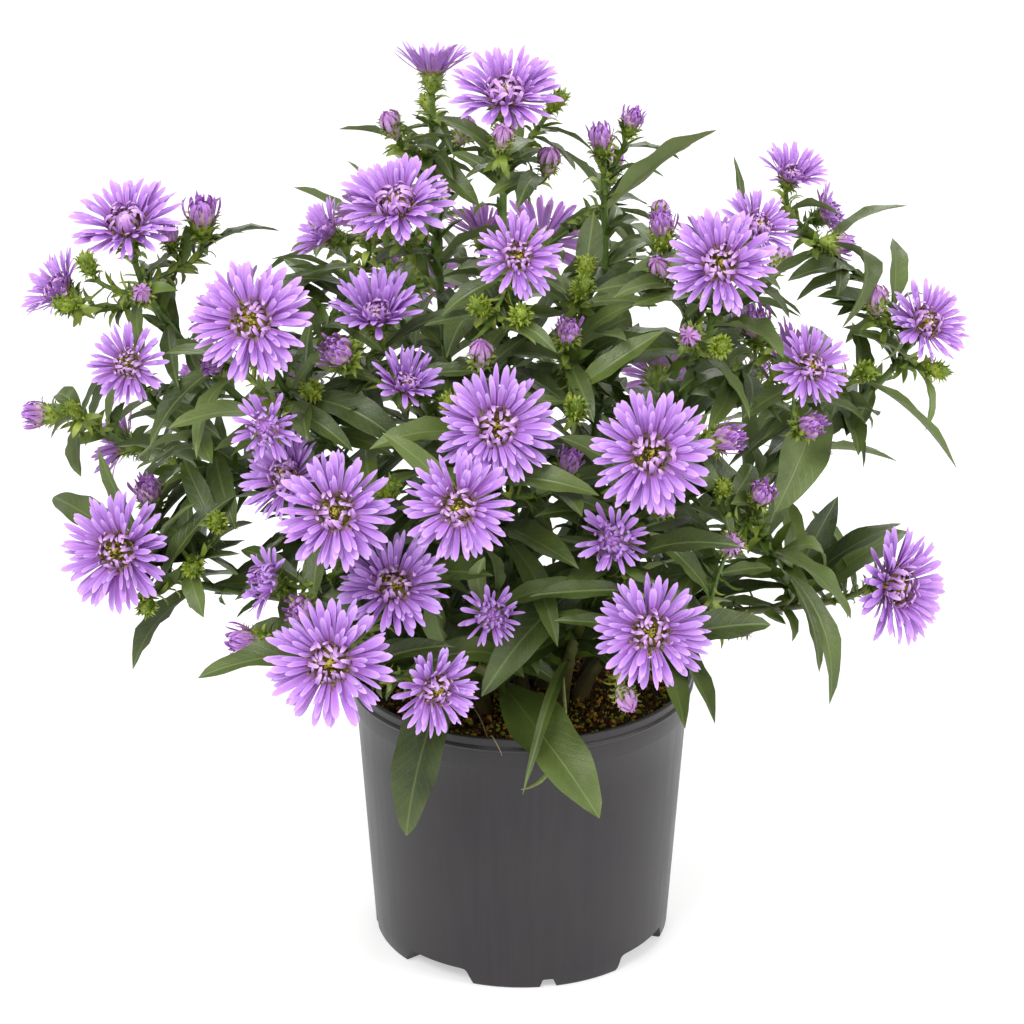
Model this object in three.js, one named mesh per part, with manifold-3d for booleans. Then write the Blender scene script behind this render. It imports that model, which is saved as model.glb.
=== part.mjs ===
// A New York aster in full flower, in a round grower pot. Millimetres, +Z up.
// The origin is the middle of the pot's base, and the front of the plant faces -Y.
import * as THREE from "three";
import { mergeVertices } from "three/addons/utils/BufferGeometryUtils.js";
import Module from "manifold-3d";

// Pot: a 130 mm grower pot with a ridged rim, a tapering wall and a foot with raised drain pockets.
const POT_HEIGHT = 107;
const POT_TOP_RADIUS = 65;
const POT_BASE_RADIUS = 56.5;
const POT_WALL = 1.6;
const RIM_RIDGE_HEIGHT = 102.6;
const RIM_GROOVE_DEPTH = 0.8;
const RIM_BAND_BOTTOM = 94.5;
const RIM_STEP = 1;
const WALL_TOP_RADIUS = 62.6;
const POT_SIDES = 28;
const POCKET_COUNT = 4;
const POCKET_TURN = -35;
const POCKET_HALF_ANGLE = 13.5;
const POCKET_HEIGHT = 6.2;
const POCKET_INNER = 43;
const SLOT_TURN = 10;
const SLOT_HALF_ANGLE = 1.8;
const SLOT_HEIGHT = 3.6;
const SLOT_INNER = 46;
const DRAIN_RADIUS = 3.5;
const DRAIN_PLACE = 49.5;

// Soil: peat from the drain pockets up to just under the rim, a little higher in the middle.
const SOIL_EDGE = 97;
const SOIL_RISE = 3;
const GAP = 0.3;
const HOLE_DEPTH = 12;
const HOLE_RADIUS = 3.3;
const HOLE_SIDES = 5;

// Stems: thick and upright at the soil, thin at the flowers.
const STEM_RADIUS = 2.3;
const STEM_TIP_RADIUS = 1.1;
const TWIG_RADIUS = 1.2;
const NECK_RADIUS = 0.85;
const STEM_SIDES = 4;
const TWIG_SIDES = 3;
const STEM_STEPS = 6;
const TWIG_STEPS = 3;
const SHORT_TWIG = 26;
const STEM_STRAIGHT_END = 16;
const TWIG_STRAIGHT_END = 12;
const STEM_LEAN = 0.3;
const STEM_RISE = 0.42;
const STEM_ARRIVE = 0.2;
const STEM_SAG = 0.16;
const TWIG_LEAVE = 0.35;
const TWIG_ARRIVE = 0.3;
const TWIG_SAG = 0.12;
const FORK_PLACES = 24;
const FORK_SLOPE = 0.8;
const WIDE_FORK_COST = 1.3;
const BACK_FORK_COST = 4;
const ROOT_SHARE = 0.45;

// Leaves: lance shaped, long low on the plant and short near its top.
const LEAF_SPACING = 47;
const LEAF_LONGEST = 58;
const LEAF_SHORTEST = 26;
const LEAF_SLENDER = 0.23;
const LEAF_TOP = 330;
const LEAF_THICKNESS = 0.9;
const LEAF_FOLD = 0.1;
const LEAF_ARCH = 0.12;
const LEAF_RISE = 32;
const LEAF_RISE_SPREAD = 40;
const LEAF_JITTER = 0.8;
const BARE_PLACES = 4;
const LEAF_RINGS = [{ share: 0.3, wide: 0.86 }, { share: 0.66, wide: 0.9 }];
const GOLDEN_ANGLE = 137.5;
const SEED = 20;

// Flowers: their parts are shares of the radius of the open ray petals.
const RAYS = 13;
const SHORT_RAY = 0.9;
const SHORT_RAY_RISE = 0.12;
const RAY_THICKNESS = 0.03;
const NOTCH_SHARE = 0.58;
const FILLED_SHARE = 0.95;
const RAY_CORNERS = [0.22, 0.78];
const DISC_SHARE = 0.3;
const DISC_EDGE_RISE = 0.15;
const DISC_RISE = 0.24;
const STAR_CORNERS = 12;
const BUD_CORNERS = 6;
const HEAD_DEPTH = { bloom: 0.5, opening: 0.9, bud: 1.1 };
// Each ring of a cup or bud is a star: its outer corners and their height, then its inner ones.
const BLOOM_CUP = { outer: 0.36, outerHeight: -0.08, inner: 0.24, innerHeight: -0.05 };
const OPENING_CUP = { outer: 0.85, outerHeight: 0.1, inner: 0.6, innerHeight: 0 };
const OPENING_RAYS = { outer: 1, outerHeight: 1.2, inner: 0.75, innerHeight: 0.75 };
const OPENING_MIDDLE = 0.9;
const BUD_CUP = { outer: 1.1, outerHeight: 0.3, inner: 0.9, innerHeight: 0 };
const BUD_TIP = 1.5;

// The stems: the place of each root in the soil, and the flowers it carries, in millimetres and
// degrees, placed by eye. A heading of 0 faces the front and 90 faces +X, and a lift of 90 faces up.
// The stem itself ends in its first flower, and the others stand on twigs.
// bloom: x, y, z, across, heading, lift, how steeply its petals stand up
// opening and bud: x, y, z, across, heading, lift
const PLANT = {
  left_top: {
    root: [-24, 6],
    blooms: [[-138, -20, 284, 41, -10, 62, 14], [-161, -25, 262, 30, -65, 40, 30]],
    openings: [[-114, 0, 279, 18, 10, 75], [-125, -2, 274, 11, -15, 62]],
    buds: [[-132, -34, 264, 9, 5, 30], [-150, -38, 276, 8, -35, 60], [-158, -40, 262, 8, -40, 20]],
  },
  left_side: {
    root: [-26, -5],
    blooms: [[-136, -48, 243, 30, -10, 28, 12], [-150, 35, 183, 32, -105, 12, 25]],
    openings: [[-171, -10, 211, 15, -85, 5]],
    buds: [[-160, -22, 217, 7, -50, 45]],
  },
  left_low: {
    root: [-22, -16],
    blooms: [[-141, -60, 178, 43, -20, 24, 10]],
    openings: [[-133, -28, 185, 16, -20, 60]],
    buds: [[-132, -64, 160, 8, 0, -10], [-115, -64, 174, 8, 10, 15], [-106, -62, 190, 8, 0, 40]],
  },
  upper_left: {
    root: [-12, -8],
    blooms: [
      [-90, -80, 269, 43, -8, 30, 10],
      [-69, 8, 273, 26, -70, 38, 35],
      [-86, -86, 234, 26, -5, 20, 25],
    ],
    openings: [[-104, -54, 246, 12, -30, 5]],
    buds: [[-55, -32, 288, 9, -30, 60], [-72, -66, 240, 8, -20, 35]],
  },
  top: {
    root: [-6, 12],
    blooms: [[-32, 20, 329, 29, 175, 78, 38], [-43, -40, 297, 41, -8, 60, 14]],
    openings: [],
    buds: [[-46, 0, 315, 9, -40, 60], [-21, 8, 311, 9, 40, 65], [-34, 28, 316, 7, -120, 50]],
  },
  top_centre: {
    root: [5, 3],
    blooms: [[-6, -15, 329, 40, 5, 62, 16], [-2, -72, 289, 31, 10, 26, 14]],
    openings: [],
    buds: [
      [-7, -32, 319, 9, 5, 55], [12, 15, 320, 8, 60, 50], [9, -5, 303, 9, 25, 70],
      [-14, -76, 273, 8, -40, 35], [-1, -80, 271, 8, 10, 40],
    ],
  },
  front_left: {
    root: [-14, -24],
    blooms: [
      [-62, -108, 212, 41, -5, 30, 10],
      [-80, -76, 212, 34, -40, 34, 20],
      [-86, -82, 176, 27, -60, 22, 25],
    ],
    openings: [[-74, -95, 171, 15, -20, 25]],
    buds: [[-45, -92, 214, 8, 25, 35]],
  },
  front_low: {
    root: [-3, -29],
    blooms: [
      [-64, -120, 163, 45, -8, 18, 10],
      [-44, -96, 180, 39, 8, 44, 12],
      [-30, -112, 150, 33, 28, 4, 14],
    ],
    openings: [[-92, -92, 158, 16, -60, 12]],
    buds: [],
  },
  centre: {
    root: [0, -13],
    blooms: [
      [-9, -92, 236, 42, 4, 28, 12],
      [-21, -118, 218, 38, -4, 20, 12],
      [-50, -48, 260, 32, -5, 60, 38],
      [-40, -68, 242, 25, 20, 55, 40],
      [-11, -88, 166, 24, 8, 22, 25],
    ],
    openings: [[-61, -68, 253, 17, -25, 35], [15, -78, 216, 13, 30, 60]],
    buds: [[-14, -74, 255, 10, 0, 62], [-24, -84, 241, 8, -20, 45]],
  },
  right_centre: {
    root: [8, -3],
    blooms: [],
    openings: [[28, 0, 308, 14, -20, 70], [38, 4, 314, 12, 35, 65], [15, -62, 258, 14, 5, 50]],
    buds: [[22, -30, 272, 8, 5, 78], [20, -50, 271, 8, 30, 50], [18, -75, 236, 8, 0, 50]],
  },
  right_top: {
    root: [15, 5],
    blooms: [[67, -55, 281, 39, -4, 34, 14], [82, -18, 283, 30, 40, 50, 18]],
    openings: [[49, -22, 282, 15, -25, 72], [84, -15, 244, 18, -25, 55]],
    buds: [[47, -44, 276, 9, -20, 50], [57, -62, 258, 9, -10, 20], [67, -64, 255, 8, 10, 25]],
  },
  right: {
    root: [24, 3],
    blooms: [
      [145, 0, 242, 34, 30, 40, 14],
      [96, 12, 293, 25, 25, 64, 35],
      [110, 26, 275, 25, 75, 26, 28],
      [99, -48, 242, 30, 22, 28, 12],
    ],
    openings: [[111, -2, 273, 12, 80, -8], [98, -54, 222, 14, 30, 30]],
    buds: [[126, -12, 254, 10, -10, 70], [123, -14, 229, 8, 20, 20], [149, -10, 228, 8, 50, 0]],
  },
  front_right: {
    root: [14, -20],
    blooms: [
      [42, -104, 231, 43, 2, 26, 12],
      [31, -90, 195, 28, -8, 18, 28],
      [43, -106, 168, 41, 2, 18, 12],
    ],
    openings: [[66, -72, 224, 16, 55, 25]],
    buds: [[47, -86, 205, 9, 10, 25], [35, -100, 141, 9, 20, -20]],
  },
  right_low: {
    root: [22, -11],
    blooms: [[135, -25, 150, 45, 42, 14, 16]],
    openings: [[81, -74, 204, 14, 15, 45]],
    buds: [[71, -87, 192, 10, 0, 25], [74, -80, 159, 10, 75, 10], [68, -78, 209, 7, 0, 35]],
  },
  back_left: {
    root: [-10, 22],
    blooms: [
      [-54, 70, 262, 38, -160, 42, 14],
      [-112, 82, 220, 40, -125, 26, 12],
      [-44, 118, 222, 42, -170, 22, 10],
      [-92, 104, 176, 38, -145, 14, 14],
      [-14, 60, 258, 32, 175, 55, 20],
    ],
    openings: [[-62, 105, 250, 14, -160, 40], [-124, 60, 200, 13, -110, 25]],
    buds: [[-78, 88, 252, 9, -140, 40], [-30, 92, 262, 9, 170, 50], [-66, 112, 196, 8, -160, 20]],
  },
  back_right: {
    root: [11, 21],
    blooms: [
      [74, 66, 248, 38, 155, 42, 14],
      [104, 72, 202, 40, 125, 24, 12],
      [8, 116, 238, 42, 175, 24, 10],
      [56, 114, 182, 40, 160, 14, 12],
    ],
    openings: [[34, 84, 276, 14, 170, 55], [112, 60, 170, 14, 120, 15], [92, 94, 190, 13, 140, 20]],
    buds: [[97, 58, 248, 9, 130, 45], [54, 100, 254, 9, 165, 40], [10, 112, 190, 8, -175, 15]],
  },
};

// The leaves that show most. Each grows from the wood nearest to its wanted root.
// wanted root x, y, z, tip x, y, z, width, arch
const SHOWY_LEAVES = [
  // top left
  [-112, 0, 262, -108, 12, 286, 7, 4], [-103, 5, 262, -88, 20, 271, 6, 4],
  [-132, -12, 254, -145, -8, 249, 5, 6], [-130, -20, 260, -131, -44, 244, 6, 3],
  // left
  [-144, -20, 219, -168, -12, 219, 7, 7], [-141, -20, 213, -169, -22, 206, 5, 3],
  [-154, -15, 211, -161, -8, 186, 7, 3], [-108, -45, 238, -128, -66, 219, 10, 5],
  [-97, -50, 235, -110, -84, 222, 7, 8], [-127, -10, 245, -118, -58, 238, 6, 3],
  // low left
  [-138, -40, 193, -151, -30, 206, 6, 3], [-94, -45, 210, -132, -72, 217, 8, 6],
  [-126, -30, 201, -141, -8, 180, 9, 3], [-112, -48, 160, -140, -50, 128, 11, 5],
  [-118, -58, 170, -111, -74, 159, 7, 3], [-109, -50, 167, -97, -28, 176, 8, 4],
  [-78, -60, 163, -100, -75, 166, 7, 3], [-46, -69, 171, -36, -92, 172, 8, 3],
  // upper left
  [-65, -10, 263, -88, -28, 275, 5, 5], [-76, -60, 238, -38, -78, 222, 11, 8],
  [-78, -30, 261, -60, -54, 258, 6, 3],
  // top
  [-32, 15, 304, -50, 4, 315, 4, 4], [-33, 15, 304, -15, -4, 287, 7, 4],
  [-40, -10, 278, -60, -22, 281, 5, 4], [7, -3, 296, -12, -24, 296, 6, 4],
  [19, -15, 285, -2, -32, 294, 7, 6], [6, -30, 253, -26, -64, 251, 11, 6],
  [-36, 10, 246, -8, -20, 238, 12, 4],
  // top right
  [27, 0, 286, 67, -20, 319, 12, 5], [14, -20, 269, 25, -14, 288, 9, 2],
  [22, -10, 278, 48, -28, 273, 7, 7], [62, -37, 242, 24, -62, 244, 13, 6],
  [40, -58, 238, 48, -62, 260, 8, 3], [30, 4, 262, 48, 22, 267, 5, 3],
  [78, 0, 291, 75, 6, 303, 4, 2],
  [74, -40, 255, 89, -58, 249, 12, 5], [62, -50, 230, 78, -62, 228, 6, 4],
  // right
  [92, 10, 279, 113, -2, 283, 6, 3], [91, 5, 264, 113, -20, 247, 11, 18],
  [113, 0, 247, 128, -10, 231, 5, 8], [134, -4, 229, 145, -17, 207, 4, 5],
  [117, -10, 221, 108, -22, 206, 10, 3], [119, -9, 225, 153, -45, 203, 9, 6],
  [117, -20, 209, 124, -12, 191, 7, 5], [106, -15, 219, 88, -60, 193, 16, 8],
  // low right
  [80, -50, 175, 115, -68, 156, 12, 6], [99, -30, 190, 108, -42, 162, 7, 10],
  [87, -45, 156, 110, -58, 118, 9, 8], [104, -40, 152, 107, -48, 126, 6, 4],
  [62, -60, 196, 80, -50, 207, 7, 4], [59, -60, 175, 42, -88, 197, 8, 4],
  // front, some of them over the rim of the pot
  [33, -66, 168, 13, -97, 177, 10, 5], [50, -36, 127, 68, -74, 118, 11, 8],
  [44, -36, 126, 57, -82, 120, 10, 8], [20, -66, 160, -14, -102, 142, 13, 6],
  [-1, -32, 121, 27, -90, 89, 20, 12], [10, -30, 118, 0, -90, 98, 4, 16],
  [-30, -52, 128, -41, -88, 81, 16, 12], [-12, -74, 161, -13, -96, 191, 6, 3],
  [6, -66, 176, 12, -92, 156, 8, 3],
];

// The ways a leaf can turn, lift and shorten to stay clear of its neighbours.
const LEAF_BENDS = [
  [0, 0, 1], [20, 0, 1], [-20, 0, 1], [0, 22, 0.95], [0, -22, 0.95], [45, 8, 0.9], [-45, 8, 0.9],
  [0, 0, 0.7], [25, 20, 0.7], [-25, 20, 0.7], [60, -15, 0.6], [-60, -15, 0.6],
];
const LEAF_CLEARANCE = 0.4;

const Z = new THREE.Vector3(0, 0, 1);
const at = (x, y, z) => new THREE.Vector3(x, y, z);
const radians = (degrees) => (degrees * Math.PI) / 180;

// The cubic millimetres of a solid too small to be seen.
const SPECK = 0.01;

const wasm = await Module();
wasm.setup();

// Numbers from 0 to 1 that look random and are the same each time.
function randomFrom(seed) {
  let state = seed;
  return () => {
    state = (state + 0x6d2b79f5) >>> 0;
    let mixed = Math.imul(state ^ (state >>> 15), 1 | state);
    mixed = (mixed + Math.imul(mixed ^ (mixed >>> 7), 61 | mixed)) ^ mixed;
    return ((mixed ^ (mixed >>> 14)) >>> 0) / 4294967296;
  };
}

// The solid inside a closed geometry, with its faces turned outward.
function solidOf(geometry) {
  geometry.deleteAttribute("normal");
  geometry.deleteAttribute("uv");
  const merged = mergeVertices(geometry, 1e-4);
  const faces = [];
  for (let f = 0; f < merged.index.count; f += 3) {
    const [a, b, c] = [0, 1, 2].map((k) => merged.index.getX(f + k));
    if (a !== b && b !== c && c !== a) faces.push(a, b, c);
  }
  const build = (corners) => new wasm.Manifold(new wasm.Mesh({
    numProp: 3,
    vertProperties: new Float32Array(merged.getAttribute("position").array),
    triVerts: new Uint32Array(corners),
  }));
  const solid = build(faces);
  return solid.volume() < 0 ? build(faces.reverse()) : solid;
}

function solidFromFaces(points, faces) {
  const corners = points.flatMap((point) => [point.x, point.y, point.z]);
  const geometry = new THREE.BufferGeometry();
  geometry.setAttribute("position", new THREE.Float32BufferAttribute(corners, 3));
  geometry.setIndex(faces.flat());
  return solidOf(geometry);
}

// The named mesh of a finished solid.
function meshOf(name, solid, material) {
  const { vertProperties, triVerts } = solid.getMesh();
  const geometry = new THREE.BufferGeometry();
  geometry.setAttribute("position", new THREE.Float32BufferAttribute(vertProperties, 3));
  geometry.setIndex([...triVerts]);
  const mesh = new THREE.Mesh(geometry, new THREE.MeshStandardMaterial(material));
  mesh.name = name;
  return mesh;
}

// Solids joined, without the specks left where their faces cross.
function joined(solids) {
  const whole = solids.reduce((sum, solid) => sum.add(solid));
  return wasm.Manifold.compose(whole.decompose().filter((part) => part.volume() > SPECK));
}

// The faces between two rings of points, where the second may have several times as many points.
function band(from, fromCount, to, toCount) {
  const faces = [];
  const times = toCount / fromCount;
  const reach = Math.floor(times / 2);
  const far = (k) => to + ((k + toCount) % toCount);
  for (let k = 0; k < fromCount; k++) {
    const here = from + k;
    const next = from + ((k + 1) % fromCount);
    for (let j = times * k - reach; j < times * k + reach; j++) faces.push([here, far(j + 1), far(j)]);
    const edge = times * k + reach;
    faces.push([here, next, far(edge)]);
    if (times % 2) faces.push([next, far(edge + 1), far(edge)]);
  }
  return faces;
}

// A solid through rings of points, flat or pointed at its end, and at its start.
function skin(rings, tip, root) {
  const points = rings.flat();
  const faces = [];
  let from = 0;
  for (let r = 0; r + 1 < rings.length; r++) {
    const to = from + rings[r].length;
    faces.push(...band(from, rings[r].length, to, rings[r + 1].length));
    from = to;
  }
  const first = rings[0].length;
  const last = rings[rings.length - 1].length;
  if (root) {
    points.push(root);
    for (let k = 0; k < first; k++) faces.push([(k + 1) % first, k, points.length - 1]);
  } else {
    for (let k = 1; k + 1 < first; k++) faces.push([0, k + 1, k]);
  }
  if (tip) {
    points.push(tip);
    for (let k = 0; k < last; k++) faces.push([from + k, from + ((k + 1) % last), points.length - 1]);
  } else {
    for (let k = 1; k + 1 < last; k++) faces.push([from, from + k, from + k + 1]);
  }
  return solidFromFaces(points, faces);
}

// Soil height, higher in the middle and uneven all over.
function soilHeight(x, y) {
  const outward = Math.hypot(x, y) / POT_TOP_RADIUS;
  return SOIL_EDGE + SOIL_RISE * (1 - outward) + 0.7 * Math.sin(x * 0.31) * Math.cos(y * 0.27);
}

function lathe(profile) {
  const points = profile.map(([radius, height]) => new THREE.Vector2(radius, height));
  return new THREE.LatheGeometry(points, POT_SIDES).rotateX(Math.PI / 2);
}

// A point round the pot, with a turn of 0 at the front.
function round(turn, radius, height) {
  const angle = radians(turn - 90);
  return at(Math.cos(angle) * radius, Math.sin(angle) * radius, height);
}

// A wedge of the pot's foot, from a straight inner side to a round outer one.
function footWedge(turn, [spread, outer, bottom], [spreadAbove, outerAbove, top], inner) {
  const ring = (half, radius, height) => [
    ...[-1, -0.5, 0, 0.5, 1].map((share) => round(turn + half * share, radius, height)),
    round(turn + half, inner, height),
    round(turn - half, inner, height),
  ];
  return skin([ring(spread, outer, bottom), ring(spreadAbove, outerAbove, top)]);
}

// What is made at each notch in the foot: at the wide drain pockets and the small slots.
function atNotches(make) {
  const quarters = [...Array(POCKET_COUNT).keys()].map((k) => (360 / POCKET_COUNT) * k);
  return quarters.flatMap((quarter) => [
    make(POCKET_TURN + quarter, POCKET_HALF_ANGLE, POCKET_INNER, POCKET_HEIGHT),
    make(SLOT_TURN + quarter, SLOT_HALF_ANGLE, SLOT_INNER, SLOT_HEIGHT),
  ]);
}

// The pot's outer radius below its rim band.
const wallRadius = (height) => (
  POT_BASE_RADIUS + ((WALL_TOP_RADIUS - POT_BASE_RADIUS) * height) / RIM_BAND_BOTTOM
);

function makePot() {
  const rimRadius = POT_TOP_RADIUS - 0.4;
  const shell = solidOf(lathe([
    [0, 0],
    [POT_BASE_RADIUS - 1, 0],
    [wallRadius(1.4), 1.4],
    [WALL_TOP_RADIUS, RIM_BAND_BOTTOM - 0.6],
    [WALL_TOP_RADIUS + RIM_STEP, RIM_BAND_BOTTOM],
    [POT_TOP_RADIUS - RIM_GROOVE_DEPTH, RIM_RIDGE_HEIGHT - 1],
    [POT_TOP_RADIUS, RIM_RIDGE_HEIGHT],
    [POT_TOP_RADIUS - RIM_GROOVE_DEPTH, RIM_RIDGE_HEIGHT + 1],
    [rimRadius, POT_HEIGHT - 1],
    [rimRadius, POT_HEIGHT],
    [rimRadius - POT_WALL, POT_HEIGHT],
    [WALL_TOP_RADIUS - POT_WALL, RIM_BAND_BOTTOM],
    [POT_BASE_RADIUS - POT_WALL, POT_WALL],
    [0, POT_WALL],
  ]));
  const middle = (height) => wallRadius(height) - POT_WALL / 2;
  const blocks = atNotches((turn, half, inner, height) => footWedge(
    turn,
    [half + 3, middle(1), 1],
    [half + 2, middle(height), height + POT_WALL],
    inner - POT_WALL,
  ));
  const notches = atNotches((turn, half, inner, height) => (
    footWedge(turn, [half + 2, POT_TOP_RADIUS, -1], [half, POT_TOP_RADIUS, height], inner)
  ));
  const drains = atNotches((turn, half) => {
    const hole = new THREE.CylinderGeometry(DRAIN_RADIUS, DRAIN_RADIUS, 12, 8).rotateX(Math.PI / 2);
    const place = round(turn, DRAIN_PLACE, POCKET_HEIGHT);
    return half === POCKET_HALF_ANGLE ? [solidOf(hole.translate(place.x, place.y, place.z))] : [];
  }).flat();
  return joined([shell, ...blocks]).subtract(joined([...notches, ...drains]));
}

function makeSoil(roots) {
  const bottom = POCKET_HEIGHT + POT_WALL + GAP;
  const clear = POT_WALL + GAP;
  const body = lathe([
    [0, bottom],
    [wallRadius(bottom) - clear, bottom],
    [WALL_TOP_RADIUS - clear, RIM_BAND_BOTTOM],
    [WALL_TOP_RADIUS - clear + 0.2, SOIL_EDGE],
    [46, SOIL_EDGE + 1],
    [24, SOIL_EDGE + 1],
    [0, SOIL_EDGE + 1],
  ]);
  const places = body.getAttribute("position");
  for (let v = 0; v < places.count; v++) {
    if (places.getZ(v) > SOIL_EDGE) places.setZ(v, soilHeight(places.getX(v), places.getY(v)));
  }
  const holes = roots.map(([x, y]) => solidOf(
    new THREE.CylinderGeometry(HOLE_RADIUS, HOLE_RADIUS, HOLE_DEPTH * 2, HOLE_SIDES)
      .rotateX(Math.PI / 2)
      .translate(x, y, SOIL_EDGE),
  ));
  return solidOf(body).subtract(joined(holes));
}

// The direction that a flower faces.
function facing(heading, lift) {
  const turn = radians(heading);
  const rise = radians(lift);
  return at(Math.sin(turn) * Math.cos(rise), -Math.cos(turn) * Math.cos(rise), Math.sin(rise));
}

// A stem or twig as it is built: straight stretches between a few points of its curve.
function branchOf(curve, steps, start, fromRadius, toRadius) {
  const middles = [start];
  for (let k = 1; k <= steps; k++) middles.push(curve.getPoint(k / steps));
  const built = (share) => {
    const place = share * steps;
    const k = Math.min(Math.floor(place), steps - 1);
    return middles[k].clone().lerp(middles[k + 1], place - k);
  };
  const radius = (share) => fromRadius + (toRadius - fromRadius) * share;
  return { curve, steps, middles, built, radius };
}

// The rings of points round a branch. The first ring of a twig is small, to lie inside the wood.
function branchRings({ curve, steps, middles, radius }, sides, firstRadius) {
  const { normals, binormals } = curve.computeFrenetFrames(steps, false);
  return middles.map((middle, s) => [...Array(sides).keys()].map((k) => {
    const turn = (2 * Math.PI * k) / sides;
    const out = s ? radius(s / steps) : firstRadius;
    return middle.clone()
      .addScaledVector(normals[s], Math.cos(turn) * out)
      .addScaledVector(binormals[s], Math.sin(turn) * out);
  }));
}

// A ring of points in and out like a star, round the axis of a flower head.
function starRing({ place, axis, first }, corners, radius, { outer, outerHeight, inner, innerHeight }) {
  const across = first.clone().addScaledVector(axis, -first.dot(axis)).normalize();
  const beside = new THREE.Vector3().crossVectors(axis, across);
  return [...Array(corners).keys()].map((k) => {
    const turn = (2 * Math.PI * k) / corners;
    const [out, height] = k % 2 ? [outer, outerHeight] : [inner, innerHeight];
    return place.clone()
      .addScaledVector(across, Math.cos(turn) * out * radius)
      .addScaledVector(beside, Math.sin(turn) * out * radius)
      .addScaledVector(axis, height * radius);
  });
}

// The end of a branch: the green cup of a bloom, a flower just opening in its cup, or a bud.
function headEnd(kind, head, radius) {
  const apex = (height) => head.place.clone().addScaledVector(head.axis, height);
  const star = (corners, shape) => starRing(head, corners, radius, shape);
  if (kind === "bloom") return [[star(STAR_CORNERS, BLOOM_CUP)], apex(-GAP)];
  if (kind === "bud") return [[star(BUD_CORNERS, BUD_CUP)], apex(radius * BUD_TIP)];
  return [
    [star(STAR_CORNERS, OPENING_CUP), star(STAR_CORNERS, OPENING_RAYS)],
    apex(radius * OPENING_MIDDLE),
  ];
}

// The ray petals of an open flower, every second one shorter and more upright, round a domed disc.
// Filled to a full disc, it marks the space that the flower needs.
function bloomSolid({ place, axis }, radius, stand, filled) {
  const steep = Math.tan(radians(stand));
  const discFoot = DISC_SHARE * steep;
  const points = [at(0, 0, 0), at(0, 0, radius * (discFoot + DISC_RISE))];
  const faces = [];
  const add = (turn, out, height) => {
    points.push(at(Math.cos(turn) * out, Math.sin(turn) * out, height));
    return points.length - 1;
  };
  const pitch = (2 * Math.PI) / RAYS;
  const notch = radius * (filled ? FILLED_SHARE : NOTCH_SHARE);
  const petals = [];
  for (let p = 0; p < RAYS; p++) {
    const long = radius * (p % 2 ? SHORT_RAY : 1);
    const high = long * steep + (p % 2 ? radius * SHORT_RAY_RISE : 0);
    petals.push({
      disc: add(p * pitch, radius * DISC_SHARE, radius * (discFoot + DISC_EDGE_RISE)),
      edge: [
        add(p * pitch, notch, notch * steep + radius * RAY_THICKNESS),
        ...RAY_CORNERS.map((corner) => add((p + corner) * pitch, long, high)),
      ],
    });
  }
  petals.forEach(({ disc, edge }, p) => {
    const next = petals[(p + 1) % RAYS];
    const outline = [...edge, next.edge[0]];
    for (let k = 0; k + 1 < outline.length; k++) {
      faces.push([0, outline[k + 1], outline[k]], [disc, outline[k], outline[k + 1]]);
    }
    faces.push([disc, next.edge[0], next.disc], [1, disc, next.disc]);
  });
  const turn = new THREE.Quaternion().setFromUnitVectors(Z, axis);
  const corners = points.map((point) => point.applyQuaternion(turn).add(place));
  return solidFromFaces(corners, faces);
}

// A lance-shaped blade from its root in the wood to its tip, arched, with a keel below its midrib.
function leafSolid({ wood, tip, width, arch }, wider) {
  const chord = tip.clone().sub(wood.place);
  const along = chord.clone().normalize();
  const middle = wood.place.clone().add(tip).multiplyScalar(0.5);
  const outward = at(middle.x, middle.y, 0).normalize();
  const above = Z.clone().addScaledVector(outward, 0.6);
  above.addScaledVector(along, -above.dot(along)).normalize();
  const side = new THREE.Vector3().crossVectors(along, above);
  const rib = new THREE.QuadraticBezierCurve3(wood.place, middle.addScaledVector(above, arch * 2), tip);
  const ring = (point, half, top, keel) => [
    point.clone().addScaledVector(side, -half).addScaledVector(above, top),
    point.clone().addScaledVector(above, -keel),
    point.clone().addScaledVector(side, half).addScaledVector(above, top),
  ];
  const rings = LEAF_RINGS.map(({ share, wide }) => ring(
    rib.getPoint(share),
    (width / 2) * wide + wider,
    LEAF_THICKNESS / 3 + wider,
    (LEAF_THICKNESS * 2) / 3 + LEAF_FOLD * width * wide + wider,
  ));
  return skin(rings, tip, wood.built.clone().addScaledVector(along, -wood.radius * ROOT_SHARE));
}

// Everything that has grown so far, to keep what grows next clear of it.
const grown = [];

function note(solid) {
  grown.push({ solid, box: solid.boundingBox() });
  return solid;
}

function isClear(solid, parent) {
  const { min, max } = solid.boundingBox();
  return grown.every((other) => {
    const apart = [0, 1, 2].some((k) => other.box.min[k] > max[k] || other.box.max[k] < min[k]);
    return other.solid === parent || apart || other.solid.intersect(solid).isEmpty();
  });
}

// Where twigs and leaves can grow from a branch.
function woodOf(branch, node, solid) {
  return [...Array(FORK_PLACES - 3).keys()].map((k) => {
    const share = (k + 2) / FORK_PLACES;
    return {
      node,
      solid,
      place: branch.curve.getPoint(share),
      built: branch.built(share),
      along: branch.curve.getTangent(share),
      radius: branch.radius(share),
    };
  });
}

const cheapest = (wood, cost) => wood.reduce((best, point) => (cost(point) < cost(best) ? point : best));

// A twig leaves the wood below its flower, at a fork that isn't too wide and doesn't turn back.
function forkFor(wood, place) {
  return cheapest(wood, (point) => {
    const reach = place.clone().sub(point.place);
    const low = Math.max(0, FORK_SLOPE * Math.hypot(reach.x, reach.y) - reach.z);
    const back = Math.max(0, -reach.dot(point.along));
    return reach.length() + WIDE_FORK_COST * low + BACK_FORK_COST * back;
  });
}

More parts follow.
